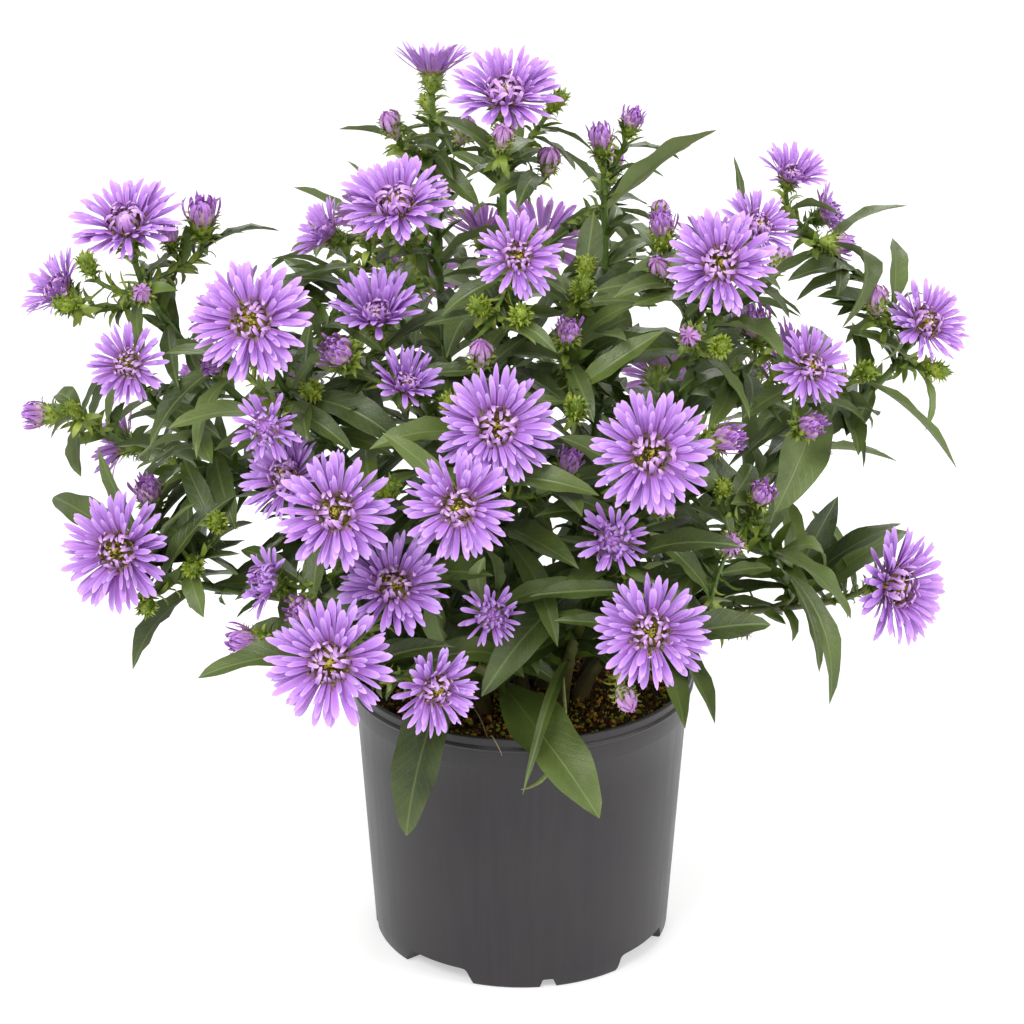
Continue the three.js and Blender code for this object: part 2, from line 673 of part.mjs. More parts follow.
// A stem rises steeply from the soil, leans outward and turns into the axis of its flower.
function stemBranch(root, neck, axis) {
  const start = at(root[0], root[1], SOIL_EDGE + SOIL_RISE);
  const reach = start.distanceTo(neck);
  const upward = at(neck.x, neck.y, 0).setLength(STEM_LEAN).add(Z).normalize();
  const rise = start.clone().addScaledVector(upward, reach * STEM_RISE);
  const arrive = neck.clone()
    .addScaledVector(axis, -Math.min(STEM_STRAIGHT_END, reach * STEM_ARRIVE))
    .addScaledVector(Z, -reach * STEM_SAG);
  const curve = new THREE.CubicBezierCurve3(start, rise, arrive, neck);
  return branchOf(curve, STEM_STEPS, start, STEM_RADIUS, STEM_TIP_RADIUS);
}

function twigBranch(fork, neck, axis) {
  const reach = fork.place.distanceTo(neck);
  const leave = fork.place.clone().addScaledVector(fork.along, reach * TWIG_LEAVE);
  const arrive = neck.clone()
    .addScaledVector(axis, -Math.min(TWIG_STRAIGHT_END, reach * TWIG_ARRIVE))
    .addScaledVector(Z, -reach * TWIG_SAG);
  const curve = new THREE.CubicBezierCurve3(fork.place, leave, arrive, neck);
  const steps = reach < SHORT_TWIG ? TWIG_STEPS - 1 : TWIG_STEPS;
  return branchOf(curve, steps, fork.built, Math.min(TWIG_RADIUS, fork.radius * 0.9), NECK_RADIUS);
}

// A stem with its twigs, each ending in the cup of a bloom, an opening flower or a bud.
function growStem(name, { root, blooms, openings, buds }) {
  const node = `leafy_stem_${name}`;
  const heads = [
    ...blooms.map((row) => ["bloom", row]),
    ...openings.map((row) => ["opening", row]),
    ...buds.map((row) => ["bud", row]),
  ];
  const wood = [];
  const branches = [];
  const pieces = [];
  const flowers = [];
  heads.forEach(([kind, [x, y, z, across, heading, lift, stand]], k) => {
    const radius = across / 2;
    const place = at(x, y, z);
    const axis = facing(heading, lift);
    const neck = place.clone().addScaledVector(axis, -radius * HEAD_DEPTH[kind]);
    const fork = k ? forkFor(wood, place) : null;
    const branch = fork ? twigBranch(fork, neck, axis) : stemBranch(root, neck, axis);
    const rings = fork
      ? branchRings(branch, TWIG_SIDES, fork.radius * ROOT_SHARE)
      : branchRings(branch, STEM_SIDES, STEM_RADIUS);
    if (!fork) {
      const sunk = SOIL_EDGE - HOLE_DEPTH + 1;
      rings.unshift(rings[0].map((point) => at(point.x, point.y, sunk)));
    }
    const first = rings[rings.length - 1][0].clone().sub(neck);
    const [endRings, tip] = headEnd(kind, { place, axis, first }, radius);
    const solid = note(skin([...rings, ...endRings], tip));
    pieces.push(solid);
    branches.push({ reach: branch.curve.getLength(), wood: woodOf(branch, node, solid) });
    wood.push(...branches[k].wood);
    if (kind === "bloom") {
      const bloom = `bloom_${name}_${k + 1}`;
      note(bloomSolid({ place, axis }, radius, stand, true));
      flowers.push([bloom, bloomSolid({ place, axis }, radius, stand, false)]);
    }
  });
  return { node, pieces, wood, branches, flowers };
}

function bent(leaf, [turn, lift, scale]) {
  const reach = leaf.tip.clone().sub(leaf.wood.place).multiplyScalar(scale);
  const across = new THREE.Vector3().crossVectors(reach, Z).normalize();
  reach.applyAxisAngle(across, radians(lift)).applyAxisAngle(Z, radians(turn));
  return { ...leaf, tip: leaf.wood.place.clone().add(reach) };
}

// The leaf in its first bend that is clear, or nothing where none is.
function growLeaf(leaf) {
  for (const bend of LEAF_BENDS) {
    const trial = bent(leaf, bend);
    if (isClear(leafSolid(trial, LEAF_CLEARANCE), leaf.wood.solid)) return [note(leafSolid(trial, 0))];
  }
  return [];
}

// The leaves that climb a branch by the golden angle, shorter toward the top of the plant.
function climbingLeaves({ reach, wood }, random) {
  const start = 360 * random();
  const count = Math.round(reach / LEAF_SPACING);
  return [...Array(count).keys()].map((k) => {
    const root = wood[Math.floor(((k + random() * LEAF_JITTER) / count) * (wood.length - BARE_PLACES))];
    const turn = radians(start + k * GOLDEN_ANGLE);
    const rise = radians(LEAF_RISE - LEAF_RISE_SPREAD * random());
    const low = Math.max(0, (LEAF_TOP - root.place.z) / (LEAF_TOP - SOIL_EDGE));
    const long = LEAF_SHORTEST + (LEAF_LONGEST - LEAF_SHORTEST) * low;
    const away = at(Math.cos(turn) * Math.cos(rise), Math.sin(turn) * Math.cos(rise), Math.sin(rise));
    const tip = root.place.clone().addScaledVector(away, long);
    return { wood: root, tip, width: long * LEAF_SLENDER, arch: long * LEAF_ARCH };
  });
}

// The plant in the order that it grows: stems and flowers, then showy leaves, then the rest.
function growPlant() {
  const random = randomFrom(SEED);
  const stems = Object.entries(PLANT).map(([name, row]) => growStem(name, row));
  const allWood = stems.flatMap(({ wood }) => wood);
  const pieces = Object.fromEntries(stems.map((stem) => [stem.node, stem.pieces]));
  for (const [rootX, rootY, rootZ, x, y, z, width, arch] of SHOWY_LEAVES) {
    const wanted = at(rootX, rootY, rootZ);
    const wood = cheapest(allWood, ({ place }) => place.distanceTo(wanted));
    pieces[wood.node].push(...growLeaf({ wood, tip: at(x, y, z), width, arch }));
  }
  for (const { node, branches } of stems) {
    const leaves = branches.flatMap((branch) => climbingLeaves(branch, random));
    for (const leaf of leaves) pieces[node].push(...growLeaf(leaf));
  }
  return { pieces, flowers: stems.flatMap((stem) => stem.flowers) };
}

const POT_PLASTIC = { color: 0x4b484c, roughness: 0.45, metalness: 0 };
const PEAT = { color: 0x4a3420, roughness: 0.95, metalness: 0 };
const LEAF_GREEN = { color: 0x4a6a35, roughness: 0.6, metalness: 0 };
const PETAL_LAVENDER = { color: 0xb884e0, roughness: 0.6, metalness: 0 };

const pot = note(makePot());
const soil = note(makeSoil(Object.values(PLANT).map(({ root }) => root)));
const plant = growPlant();

const model = new THREE.Group();
model.add(meshOf("pot", pot, POT_PLASTIC));
model.add(meshOf("soil", soil, PEAT));
for (const [name, pieces] of Object.entries(plant.pieces)) {
  model.add(meshOf(name, joined(pieces), LEAF_GREEN));
}
for (const [name, solid] of plant.flowers) {
  model.add(meshOf(name, solid, PETAL_LAVENDER));
}

export default model;
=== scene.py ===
"""Fine petals, leaves, buds, soil and pot for a potted New York aster, over its plain solids.

Lengths are in millimetres until a piece is finished. The front of the plant faces -Y.
"""

import math

import bpy
import numpy as np
from mathutils import Matrix, Vector
from mathutils.kdtree import KDTree


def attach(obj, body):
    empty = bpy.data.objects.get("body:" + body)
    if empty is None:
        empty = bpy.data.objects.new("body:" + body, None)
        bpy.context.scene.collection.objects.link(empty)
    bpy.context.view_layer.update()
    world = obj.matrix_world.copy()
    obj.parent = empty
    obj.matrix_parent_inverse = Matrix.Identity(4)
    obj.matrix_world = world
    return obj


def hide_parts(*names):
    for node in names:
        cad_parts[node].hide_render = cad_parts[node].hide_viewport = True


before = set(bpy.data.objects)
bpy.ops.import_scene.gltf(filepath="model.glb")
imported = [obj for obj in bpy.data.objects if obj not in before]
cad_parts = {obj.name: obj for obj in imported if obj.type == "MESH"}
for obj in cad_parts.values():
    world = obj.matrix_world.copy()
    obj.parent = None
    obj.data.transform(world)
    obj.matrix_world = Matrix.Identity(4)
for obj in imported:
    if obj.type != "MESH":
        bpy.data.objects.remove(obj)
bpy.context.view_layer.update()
MM = 0.001

# The photograph's view of the plant, in metres: level across, looking down a little.
CAMERA_PLACE = (-0.00367, -1.03068, 0.58071)
CAMERA_TARGET = (-0.00367, 0.0, 0.16904)
CAMERA_LENS = 105.5

# Pot, as in the solids: a ridged rim, a tapering wall, and a foot with raised drain pockets.
POT_HEIGHT = 107
POT_TOP_RADIUS = 65
POT_BASE_RADIUS = 56.5
POT_WALL = 1.6
RIM_RIDGE_HEIGHT = 102.6
RIM_GROOVE_DEPTH = 0.8
RIM_BAND_BOTTOM = 94.5
RIM_STEP = 1
WALL_TOP_RADIUS = 62.6
POT_TURNS = 360
POCKET_COUNT = 4
POCKET_TURN = -35
POCKET_HALF_ANGLE = 13.8
POCKET_SLOPE = 2.8
POCKET_HEIGHT = 6.2
POCKET_INNER = 43
SLOT_TURN = 10
SLOT_HALF_ANGLE = 2.5
SLOT_SLOPE = 1.2
SLOT_HEIGHT = 3.6
SLOT_INNER = 46
DRAIN_RADIUS = 3.5
DRAIN_PLACE = 49.5

# Soil: peat up to just under the rim, a little higher in the middle.
SOIL_EDGE = 97
SOIL_RISE = 3
SOIL_GAP = 0.3
SOIL_RINGS = 26
SOIL_TURNS = 96

# Stems: where they curve, fork and carry leaves, as in the solids.
STEM_RADIUS = 2.3
STEM_TIP_RADIUS = 1.1
TWIG_RADIUS = 1.2
TWIG_SHARE = 0.9
NECK_RADIUS = 0.85
STEM_STRAIGHT_END = 16
TWIG_STRAIGHT_END = 12
STEM_LEAN = 0.3
STEM_RISE = 0.42
STEM_ARRIVE = 0.2
STEM_SAG = 0.16
TWIG_LEAVE = 0.35
TWIG_ARRIVE = 0.3
TWIG_SAG = 0.12
FORK_PLACES = 24
FORK_SLOPE = 0.8
WIDE_FORK_COST = 1.3
BACK_FORK_COST = 4
ROOT_DEPTH = 11

# Leaves: the rule by which the solids' leaves climb their stems.
LEAF_SPACING = 47
LEAF_LONGEST = 58
LEAF_SHORTEST = 26
LEAF_SLENDER = 0.23
LEAF_TOP = 330
LEAF_ARCH = 0.12
LEAF_RISE = 32
LEAF_RISE_SPREAD = 40
LEAF_JITTER = 0.8
BARE_PLACES = 4
GOLDEN_ANGLE = 137.5
SEED = 20
LEAF_THICKNESS = 0.4
LEAF_FOUND = 0.05

# Flowers: how far under its middle each kind of head joins its stem, as shares of its radius.
HEAD_DEPTH = {"bloom": 0.5, "opening": 0.9, "bud": 1.1}

# The stems: the place of each root in the soil, and the flowers it carries, in millimetres and
# degrees. A heading of 0 faces the front and 90 faces +X, and a lift of 90 faces up.
# The stem itself ends in its first flower, and the others stand on twigs.
# bloom: x, y, z, across, heading, lift, how steeply its petals stand up
# opening and bud: x, y, z, across, heading, lift
PLANT = {
    "left_top": {
        "root": (-24, 6),
        "blooms": [(-138, -20, 284, 41, -10, 62, 14), (-161, -25, 262, 30, -65, 40, 30)],
        "openings": [(-114, 0, 279, 18, 10, 75), (-125, -2, 274, 11, -15, 62)],
        "buds": [(-132, -34, 264, 9, 5, 30), (-150, -38, 276, 8, -35, 60), (-158, -40, 262, 8, -40, 20)],
    },
    "left_side": {
        "root": (-26, -5),
        "blooms": [(-136, -48, 243, 30, -10, 28, 12), (-150, 35, 183, 32, -105, 12, 25)],
        "openings": [(-171, -10, 211, 15, -85, 5)],
        "buds": [(-160, -22, 217, 7, -50, 45)],
    },
    "left_low": {
        "root": (-22, -16),
        "blooms": [(-141, -60, 178, 43, -20, 24, 10)],
        "openings": [(-133, -28, 185, 16, -20, 60)],
        "buds": [(-132, -64, 160, 8, 0, -10), (-115, -64, 174, 8, 10, 15), (-106, -62, 190, 8, 0, 40)],
    },
    "upper_left": {
        "root": (-12, -8),
        "blooms": [
            (-90, -80, 269, 43, -8, 30, 10),
            (-69, 8, 273, 26, -70, 38, 35),
            (-86, -86, 234, 26, -5, 20, 25),
        ],
        "openings": [(-104, -54, 246, 12, -30, 5)],
        "buds": [(-55, -32, 288, 9, -30, 60), (-72, -66, 240, 8, -20, 35)],
    },
    "top": {
        "root": (-6, 12),
        "blooms": [(-32, 20, 329, 29, 175, 78, 38), (-43, -40, 297, 41, -8, 60, 14)],
        "openings": [],
        "buds": [(-46, 0, 315, 9, -40, 60), (-21, 8, 311, 9, 40, 65), (-34, 28, 316, 7, -120, 50)],
    },
    "top_centre": {
        "root": (5, 3),
        "blooms": [(-6, -15, 329, 40, 5, 62, 16), (-2, -72, 289, 31, 10, 26, 14)],
        "openings": [],
        "buds": [
            (-7, -32, 319, 9, 5, 55), (12, 15, 320, 8, 60, 50), (9, -5, 303, 9, 25, 70),
            (-14, -76, 273, 8, -40, 35), (-1, -80, 271, 8, 10, 40),
        ],
    },
    "front_left": {
        "root": (-14, -24),
        "blooms": [
            (-62, -108, 212, 41, -5, 30, 10),
            (-80, -76, 212, 34, -40, 34, 20),
            (-86, -82, 176, 27, -60, 22, 25),
        ],
        "openings": [(-74, -95, 171, 15, -20, 25)],
        "buds": [(-45, -92, 214, 8, 25, 35)],
    },
    "front_low": {
        "root": (-3, -29),
        "blooms": [
            (-64, -120, 163, 45, -8, 18, 10),
            (-44, -96, 180, 39, 8, 44, 12),
            (-30, -112, 150, 33, 28, 4, 14),
        ],
        "openings": [(-92, -92, 158, 16, -60, 12)],
        "buds": [],
    },
    "centre": {
        "root": (0, -13),
        "blooms": [
            (-9, -92, 236, 42, 4, 28, 12),
            (-21, -118, 218, 38, -4, 20, 12),
            (-50, -48, 260, 32, -5, 60, 38),
            (-40, -68, 242, 25, 20, 55, 40),
            (-11, -88, 166, 24, 8, 22, 25),
        ],
        "openings": [(-61, -68, 253, 17, -25, 35), (15, -78, 216, 13, 30, 60)],
        "buds": [(-14, -74, 255, 10, 0, 62), (-24, -84, 241, 8, -20, 45)],
    },
    "right_centre": {
        "root": (8, -3),
        "blooms": [],
        "openings": [(28, 0, 308, 14, -20, 70), (38, 4, 314, 12, 35, 65), (15, -62, 258, 14, 5, 50)],
        "buds": [(22, -30, 272, 8, 5, 78), (20, -50, 271, 8, 30, 50), (18, -75, 236, 8, 0, 50)],
    },
    "right_top": {
        "root": (15, 5),
        "blooms": [(67, -55, 281, 39, -4, 34, 14), (82, -18, 283, 30, 40, 50, 18)],
        "openings": [(49, -22, 282, 15, -25, 72), (84, -15, 244, 18, -25, 55)],
        "buds": [(47, -44, 276, 9, -20, 50), (57, -62, 258, 9, -10, 20), (67, -64, 255, 8, 10, 25)],
    },
    "right": {
        "root": (24, 3),
        "blooms": [
            (145, 0, 242, 34, 30, 40, 14),
            (96, 12, 293, 25, 25, 64, 35),
            (110, 26, 275, 25, 75, 26, 28),
            (99, -48, 242, 30, 22, 28, 12),
        ],
        "openings": [(111, -2, 273, 12, 80, -8), (98, -54, 222, 14, 30, 30)],
        "buds": [(126, -12, 254, 10, -10, 70), (123, -14, 229, 8, 20, 20), (149, -10, 228, 8, 50, 0)],
    },
    "front_right": {
        "root": (14, -20),
        "blooms": [
            (42, -104, 231, 43, 2, 26, 12),
            (31, -90, 195, 28, -8, 18, 28),
            (43, -106, 168, 41, 2, 18, 12),
        ],
        "openings": [(66, -72, 224, 16, 55, 25)],
        "buds": [(47, -86, 205, 9, 10, 25), (35, -100, 141, 9, 20, -20)],
    },
    "right_low": {
        "root": (22, -11),
        "blooms": [(135, -25, 150, 45, 42, 14, 16)],
        "openings": [(81, -74, 204, 14, 15, 45)],
        "buds": [(71, -87, 192, 10, 0, 25), (74, -80, 159, 10, 75, 10), (68, -78, 209, 7, 0, 35)],
    },
    "back_left": {
        "root": (-10, 22),
        "blooms": [
            (-54, 70, 262, 38, -160, 42, 14),
            (-112, 82, 220, 40, -125, 26, 12),
            (-44, 118, 222, 42, -170, 22, 10),
            (-92, 104, 176, 38, -145, 14, 14),
            (-14, 60, 258, 32, 175, 55, 20),
        ],
        "openings": [(-62, 105, 250, 14, -160, 40), (-124, 60, 200, 13, -110, 25)],
        "buds": [(-78, 88, 252, 9, -140, 40), (-30, 92, 262, 9, 170, 50), (-66, 112, 196, 8, -160, 20)],
    },
    "back_right": {
        "root": (11, 21),
        "blooms": [
            (74, 66, 248, 38, 155, 42, 14),
            (104, 72, 202, 40, 125, 24, 12),
            (8, 116, 238, 42, 175, 24, 10),
            (56, 114, 182, 40, 160, 14, 12),
        ],
        "openings": [(34, 84, 276, 14, 170, 55), (112, 60, 170, 14, 120, 15), (92, 94, 190, 13, 140, 20)],
        "buds": [(97, 58, 248, 9, 130, 45), (54, 100, 254, 9, 165, 40), (10, 112, 190, 8, -175, 15)],
    },
}

# The leaves that show most. Each grows from the wood nearest to its wanted root.
# wanted root x, y, z, tip x, y, z, width, arch
SHOWY_LEAVES = [
    # top left
    (-112, 0, 262, -108, 12, 286, 7, 4), (-103, 5, 262, -88, 20, 271, 6, 4),
    (-132, -12, 254, -145, -8, 249, 5, 6), (-130, -20, 260, -131, -44, 244, 6, 3),
    # left
    (-144, -20, 219, -168, -12, 219, 7, 7), (-141, -20, 213, -169, -22, 206, 5, 3),
    (-154, -15, 211, -161, -8, 186, 7, 3), (-108, -45, 238, -128, -66, 219, 10, 5),
    (-97, -50, 235, -110, -84, 222, 7, 8), (-127, -10, 245, -118, -58, 238, 6, 3),
    # low left
    (-138, -40, 193, -151, -30, 206, 6, 3), (-94, -45, 210, -132, -72, 217, 8, 6),
    (-126, -30, 201, -141, -8, 180, 9, 3), (-112, -48, 160, -140, -50, 128, 11, 5),
    (-118, -58, 170, -111, -74, 159, 7, 3), (-109, -50, 167, -97, -28, 176, 8, 4),
    (-78, -60, 163, -100, -75, 166, 7, 3), (-46, -69, 171, -36, -92, 172, 8, 3),
    # upper left
    (-65, -10, 263, -88, -28, 275, 5, 5), (-76, -60, 238, -38, -78, 222, 11, 8),
    (-78, -30, 261, -60, -54, 258, 6, 3),
    # top
    (-32, 15, 304, -50, 4, 315, 4, 4), (-33, 15, 304, -15, -4, 287, 7, 4),
    (-40, -10, 278, -60, -22, 281, 5, 4), (7, -3, 296, -12, -24, 296, 6, 4),
    (19, -15, 285, -2, -32, 294, 7, 6), (6, -30, 253, -26, -64, 251, 11, 6),
    (-36, 10, 246, -8, -20, 238, 12, 4),
    # top right
    (27, 0, 286, 67, -20, 319, 12, 5), (14, -20, 269, 25, -14, 288, 9, 2),
    (22, -10, 278, 48, -28, 273, 7, 7), (62, -37, 242, 24, -62, 244, 13, 6),
    (40, -58, 238, 48, -62, 260, 8, 3), (30, 4, 262, 48, 22, 267, 5, 3),
    (78, 0, 291, 75, 6, 303, 4, 2),
    (74, -40, 255, 89, -58, 249, 12, 5), (62, -50, 230, 78, -62, 228, 6, 4),
    # right
    (92, 10, 279, 113, -2, 283, 6, 3), (91, 5, 264, 113, -20, 247, 11, 18),
    (113, 0, 247, 128, -10, 231, 5, 8), (134, -4, 229, 145, -17, 207, 4, 5),
    (117, -10, 221, 108, -22, 206, 10, 3), (119, -9, 225, 153, -45, 203, 9, 6),
    (117, -20, 209, 124, -12, 191, 7, 5), (106, -15, 219, 88, -60, 193, 16, 8),
    # low right
    (80, -50, 175, 115, -68, 156, 12, 6), (99, -30, 190, 108, -42, 162, 7, 10),
    (87, -45, 156, 110, -58, 118, 9, 8), (104, -40, 152, 107, -48, 126, 6, 4),
    (62, -60, 196, 80, -50, 207, 7, 4), (59, -60, 175, 42, -88, 197, 8, 4),
    # front, some of them over the rim of the pot
    (33, -66, 168, 13, -97, 177, 10, 5), (50, -36, 127, 68, -74, 118, 11, 8),
    (44, -36, 126, 57, -82, 120, 10, 8), (20, -66, 160, -14, -102, 142, 13, 6),
    (-1, -32, 121, 27, -90, 89, 20, 12), (10, -30, 118, 0, -90, 98, 4, 16),
    (-30, -52, 128, -41, -88, 81, 16, 12), (-12, -74, 161, -13, -96, 191, 6, 3),
    (6, -66, 176, 12, -92, 156, 8, 3),
]

# The ways a leaf can turn, lift and shorten to stay clear of its neighbours.
LEAF_BENDS = [
    (0, 0, 1), (20, 0, 1), (-20, 0, 1), (0, 22, 0.95), (0, -22, 0.95), (45, 8, 0.9), (-45, 8, 0.9),
    (0, 0, 0.7), (25, 20, 0.7), (-25, 20, 0.7), (60, -15, 0.6), (-60, -15, 0.6),
]


# Growth, in the same way as the solids

Z = np.array((0.0, 0.0, 1.0))


def vector(*numbers):
    return np.array(numbers, float)


def unit(direction):
    return direction / np.linalg.norm(direction)


def distance(one, other):
    return float(np.linalg.norm(one - other))


def turned(direction, axis, angle):
    """A direction turned round an axis, by the right-hand rule."""
    along = axis * axis.dot(direction) * (1 - math.cos(angle))
    return direction * math.cos(angle) + np.cross(axis, direction) * math.sin(angle) + along


def pointing(turn, rise):
    """A direction by its turn from +X and its rise from the level, in radians."""
    return vector(math.cos(turn) * math.cos(rise), math.sin(turn) * math.cos(rise), math.sin(rise))


def random_from(seed):
    """Numbers from 0 to 1, the same ones that the solids use."""
    state = seed
    whole = 0xFFFFFFFF

    def draw():
        nonlocal state
        state = (state + 0x6D2B79F5) & whole
        mixed = ((state ^ (state >> 15)) * (1 | state)) & whole
        mixed = ((mixed + (mixed ^ (mixed >> 7)) * (61 | mixed)) ^ mixed) & whole
        return (mixed ^ (mixed >> 14)) / (whole + 1)

    return draw


class Curve:
    """A Bezier curve through space, with shares from 0 to 1 along it."""

    def __init__(self, *points):
        self.points = points

    def at(self, share):
        points = self.points
        while len(points) > 1:
            points = [a * (1 - share) + b * share for a, b in zip(points, points[1:])]
        return points[0]

    def along(self, share):
        step = 0.0001
        return unit(self.at(min(1, share + step)) - self.at(max(0, share - step)))

    def length(self, steps=200):
        places = [self.at(k / steps) for k in range(steps + 1)]
        return sum(distance(a, b) for a, b in zip(places, places[1:]))


class Branch:
    """A stem or twig, and the places on it where twigs and leaves can grow."""

    def __init__(self, node, curve, thick, thin):
        self.curve = curve
        self.thick = thick
        self.thin = thin
        self.wood = []
        for k in range(2, FORK_PLACES - 1):
            share = k / FORK_PLACES
            self.wood.append({
                "node": node,
                "place": curve.at(share),
                "along": curve.along(share),
                "radius": thick + (thin - thick) * share,
            })


def facing(heading, lift):
    """The direction that a flower faces."""
    turn, rise = math.radians(heading), math.radians(lift)
    return vector(math.sin(turn) * math.cos(rise), -math.cos(turn) * math.cos(rise), math.sin(rise))


def fork_for(wood, place):
    """The place where a twig leaves the wood, not too wide of its flower and not turning back."""
    def cost(point):
        reach = place - point["place"]
        low = max(0, FORK_SLOPE * math.hypot(reach[0], reach[1]) - reach[2])
        back = max(0, -reach.dot(point["along"]))
        return np.linalg.norm(reach) + WIDE_FORK_COST * low + BACK_FORK_COST * back

    return min(wood, key=cost)


def stem_branch(node, root, neck, axis):
    start = vector(root[0], root[1], SOIL_EDGE + SOIL_RISE)
    reach = distance(start, neck)
    upward = unit(unit(neck * (1, 1, 0)) * STEM_LEAN + Z)
    rise = start + upward * reach * STEM_RISE
    arrive = neck - axis * min(STEM_STRAIGHT_END, reach * STEM_ARRIVE) - Z * reach * STEM_SAG
    return Branch(node, Curve(start, rise, arrive, neck), STEM_RADIUS, STEM_TIP_RADIUS)


def twig_branch(node, fork, neck, axis):
    reach = distance(fork["place"], neck)
    leave = fork["place"] + fork["along"] * reach * TWIG_LEAVE
    arrive = neck - axis * min(TWIG_STRAIGHT_END, reach * TWIG_ARRIVE) - Z * reach * TWIG_SAG
    thick = min(TWIG_RADIUS, fork["radius"] * TWIG_SHARE)
    return Branch(node, Curve(fork["place"], leave, arrive, neck), thick, NECK_RADIUS)


def grow_stem(name, row):
    """A stem's branches and the heads at their ends."""
    node = f"leafy_stem_{name}"
    branches, heads, wood = [], [], []
    for kind in HEAD_DEPTH:
        for k, (x, y, z, across, heading, lift, *stand) in enumerate(row[f"{kind}s"]):
            radius = across / 2
            place = vector(x, y, z)
            axis = facing(heading, lift)
            neck = place - axis * radius * HEAD_DEPTH[kind]
            if branches:
                branch = twig_branch(node, fork_for(wood, place), neck, axis)
            else:
                branch = stem_branch(node, row["root"], neck, axis)
            branches.append(branch)
            wood += branch.wood
            heads.append({
                "kind": kind,
                "bloom": f"bloom_{name}_{k + 1}",
                "place": place,
                "axis": axis,
                "radius": radius,
                "stand": stand[0] if stand else 0,
            })
    return {"node": node, "branches": branches, "heads": heads, "wood": wood}


def climbing_leaves(branch, draw):
    """The leaves that climb a branch by the golden angle, shorter toward the top of the plant."""
    start = 360 * draw()
    count = math.floor(branch.curve.length() / LEAF_SPACING + 0.5)
    leaves = []
    for k in range(count):
        share = (k + draw() * LEAF_JITTER) / count
        root = branch.wood[math.floor(share * (len(branch.wood) - BARE_PLACES))]
        turn = math.radians(start + k * GOLDEN_ANGLE)
        rise = math.radians(LEAF_RISE - LEAF_RISE_SPREAD * draw())
        low = max(0, (LEAF_TOP - root["place"][2]) / (LEAF_TOP - SOIL_EDGE))
        long = LEAF_SHORTEST + (LEAF_LONGEST - LEAF_SHORTEST) * low
        tip = root["place"] + pointing(turn, rise) * long
        leaves.append({"root": root, "tip": tip, "width": long * LEAF_SLENDER, "arch": long * LEAF_ARCH})
    return leaves


def bent_tip(leaf, bend):
    turn, lift, scale = bend
    reach = (leaf["tip"] - leaf["root"]["place"]) * scale
    reach = turned(reach, unit(np.cross(reach, Z)), math.radians(lift))
    return leaf["root"]["place"] + turned(reach, Z, math.radians(turn))


def points_of(node):
    """The corners of a solid, to look up by place."""
    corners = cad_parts[node].data.vertices
    tree = KDTree(len(corners))
    for k, corner in enumerate(corners):
        tree.insert(corner.co / MM, k)
    tree.balance()
    return tree


def found_leaves(wanted):
    """The wanted leaves, each in the bend in which its solid grew."""
    solids = {node: points_of(node) for node in {leaf["root"]["node"] for leaf in wanted}}
    found = []
    for leaf in wanted:
        for bend in LEAF_BENDS:
            tip = bent_tip(leaf, bend)
            if solids[leaf["root"]["node"]].find(Vector(tip))[2] < LEAF_FOUND:
                found.append({**leaf, "tip": tip})
                break
    return found


def grow_plant():
    """All stems, and all leaves of the solids, in the order in which the solids grow."""
    draw = random_from(SEED)
    stems = [grow_stem(name, row) for name, row in PLANT.items()]
    wood = [point for stem in stems for point in stem["wood"]]
    wanted = []
    for root_x, root_y, root_z, x, y, z, width, arch in SHOWY_LEAVES:
        root = vector(root_x, root_y, root_z)
        nearest = min(wood, key=lambda point: distance(point["place"], root))
        wanted.append({"root": nearest, "tip": vector(x, y, z), "width": width, "arch": arch})
    for stem in stems:
        for branch in stem["branches"]:
            wanted += climbing_leaves(branch, draw)
    return stems, found_leaves(wanted)


# Node trees, and what they share

def add_node(tree, kind, inputs=(), **settings):
    """A node with its settings. Inputs, by name or number, are set to values or linked to sockets."""
    made = tree.nodes.new(kind)
    for name, value in settings.items():
        setattr(made, name, value)
    for key, value in dict(inputs).items():
        if isinstance(value, bpy.types.NodeSocket):
            tree.links.new(value, made.inputs[key])
        else:
            made.inputs[key].default_value = value
    return made


def output(tree, kind, inputs=(), **settings):
    """The first output of a new node."""
    return add_node(tree, kind, inputs, **settings).outputs[0]


def maths(tree, operation, *values):
    return output(tree, "ShaderNodeMath", enumerate(values), operation=operation)


def times(tree, *values):
    return maths(tree, "MULTIPLY", *values)


def plus(tree, *values):
    return maths(tree, "ADD", *values)


def less(tree, *values):
    return maths(tree, "SUBTRACT", *values)


def joined(tree, *parts):
    return output(tree, "ShaderNodeCombineXYZ", enumerate(parts))


def spread(tree, value, low, high, to_low=0.0, to_high=1.0):
    """A value moved from one range to another, and kept inside it."""
    return output(tree, "ShaderNodeMapRange", enumerate((value, low, high, to_low, to_high)))


def paint(red, green, blue):
    """A colour by its 0 to 255 values on a screen, as the light that it reflects."""
    def light(value):
        share = value / 255
        return share / 12.92 if share <= 0.04045 else ((share + 0.055) / 1.055) ** 2.4

    return (light(red), light(green), light(blue), 1)


def mixed(tree, share, low, high, way="MIX"):
    """A mix of two colours, each from a socket or by its 0 to 255 values."""
    low, high = (paint(*each) if isinstance(each, tuple) else each for each in (low, high))
    inputs = {0: share, 6: low, 7: high}
    return add_node(tree, "ShaderNodeMix", inputs, data_type="RGBA", blend_type=way).outputs[2]


def coated(tree, colour, *coats):
    """A colour under thin coats, each with where it lies, its strength and its colour."""
    for mask, strength, coat in coats:
        colour = mixed(tree, times(tree, mask, strength), colour, coat)
    return colour


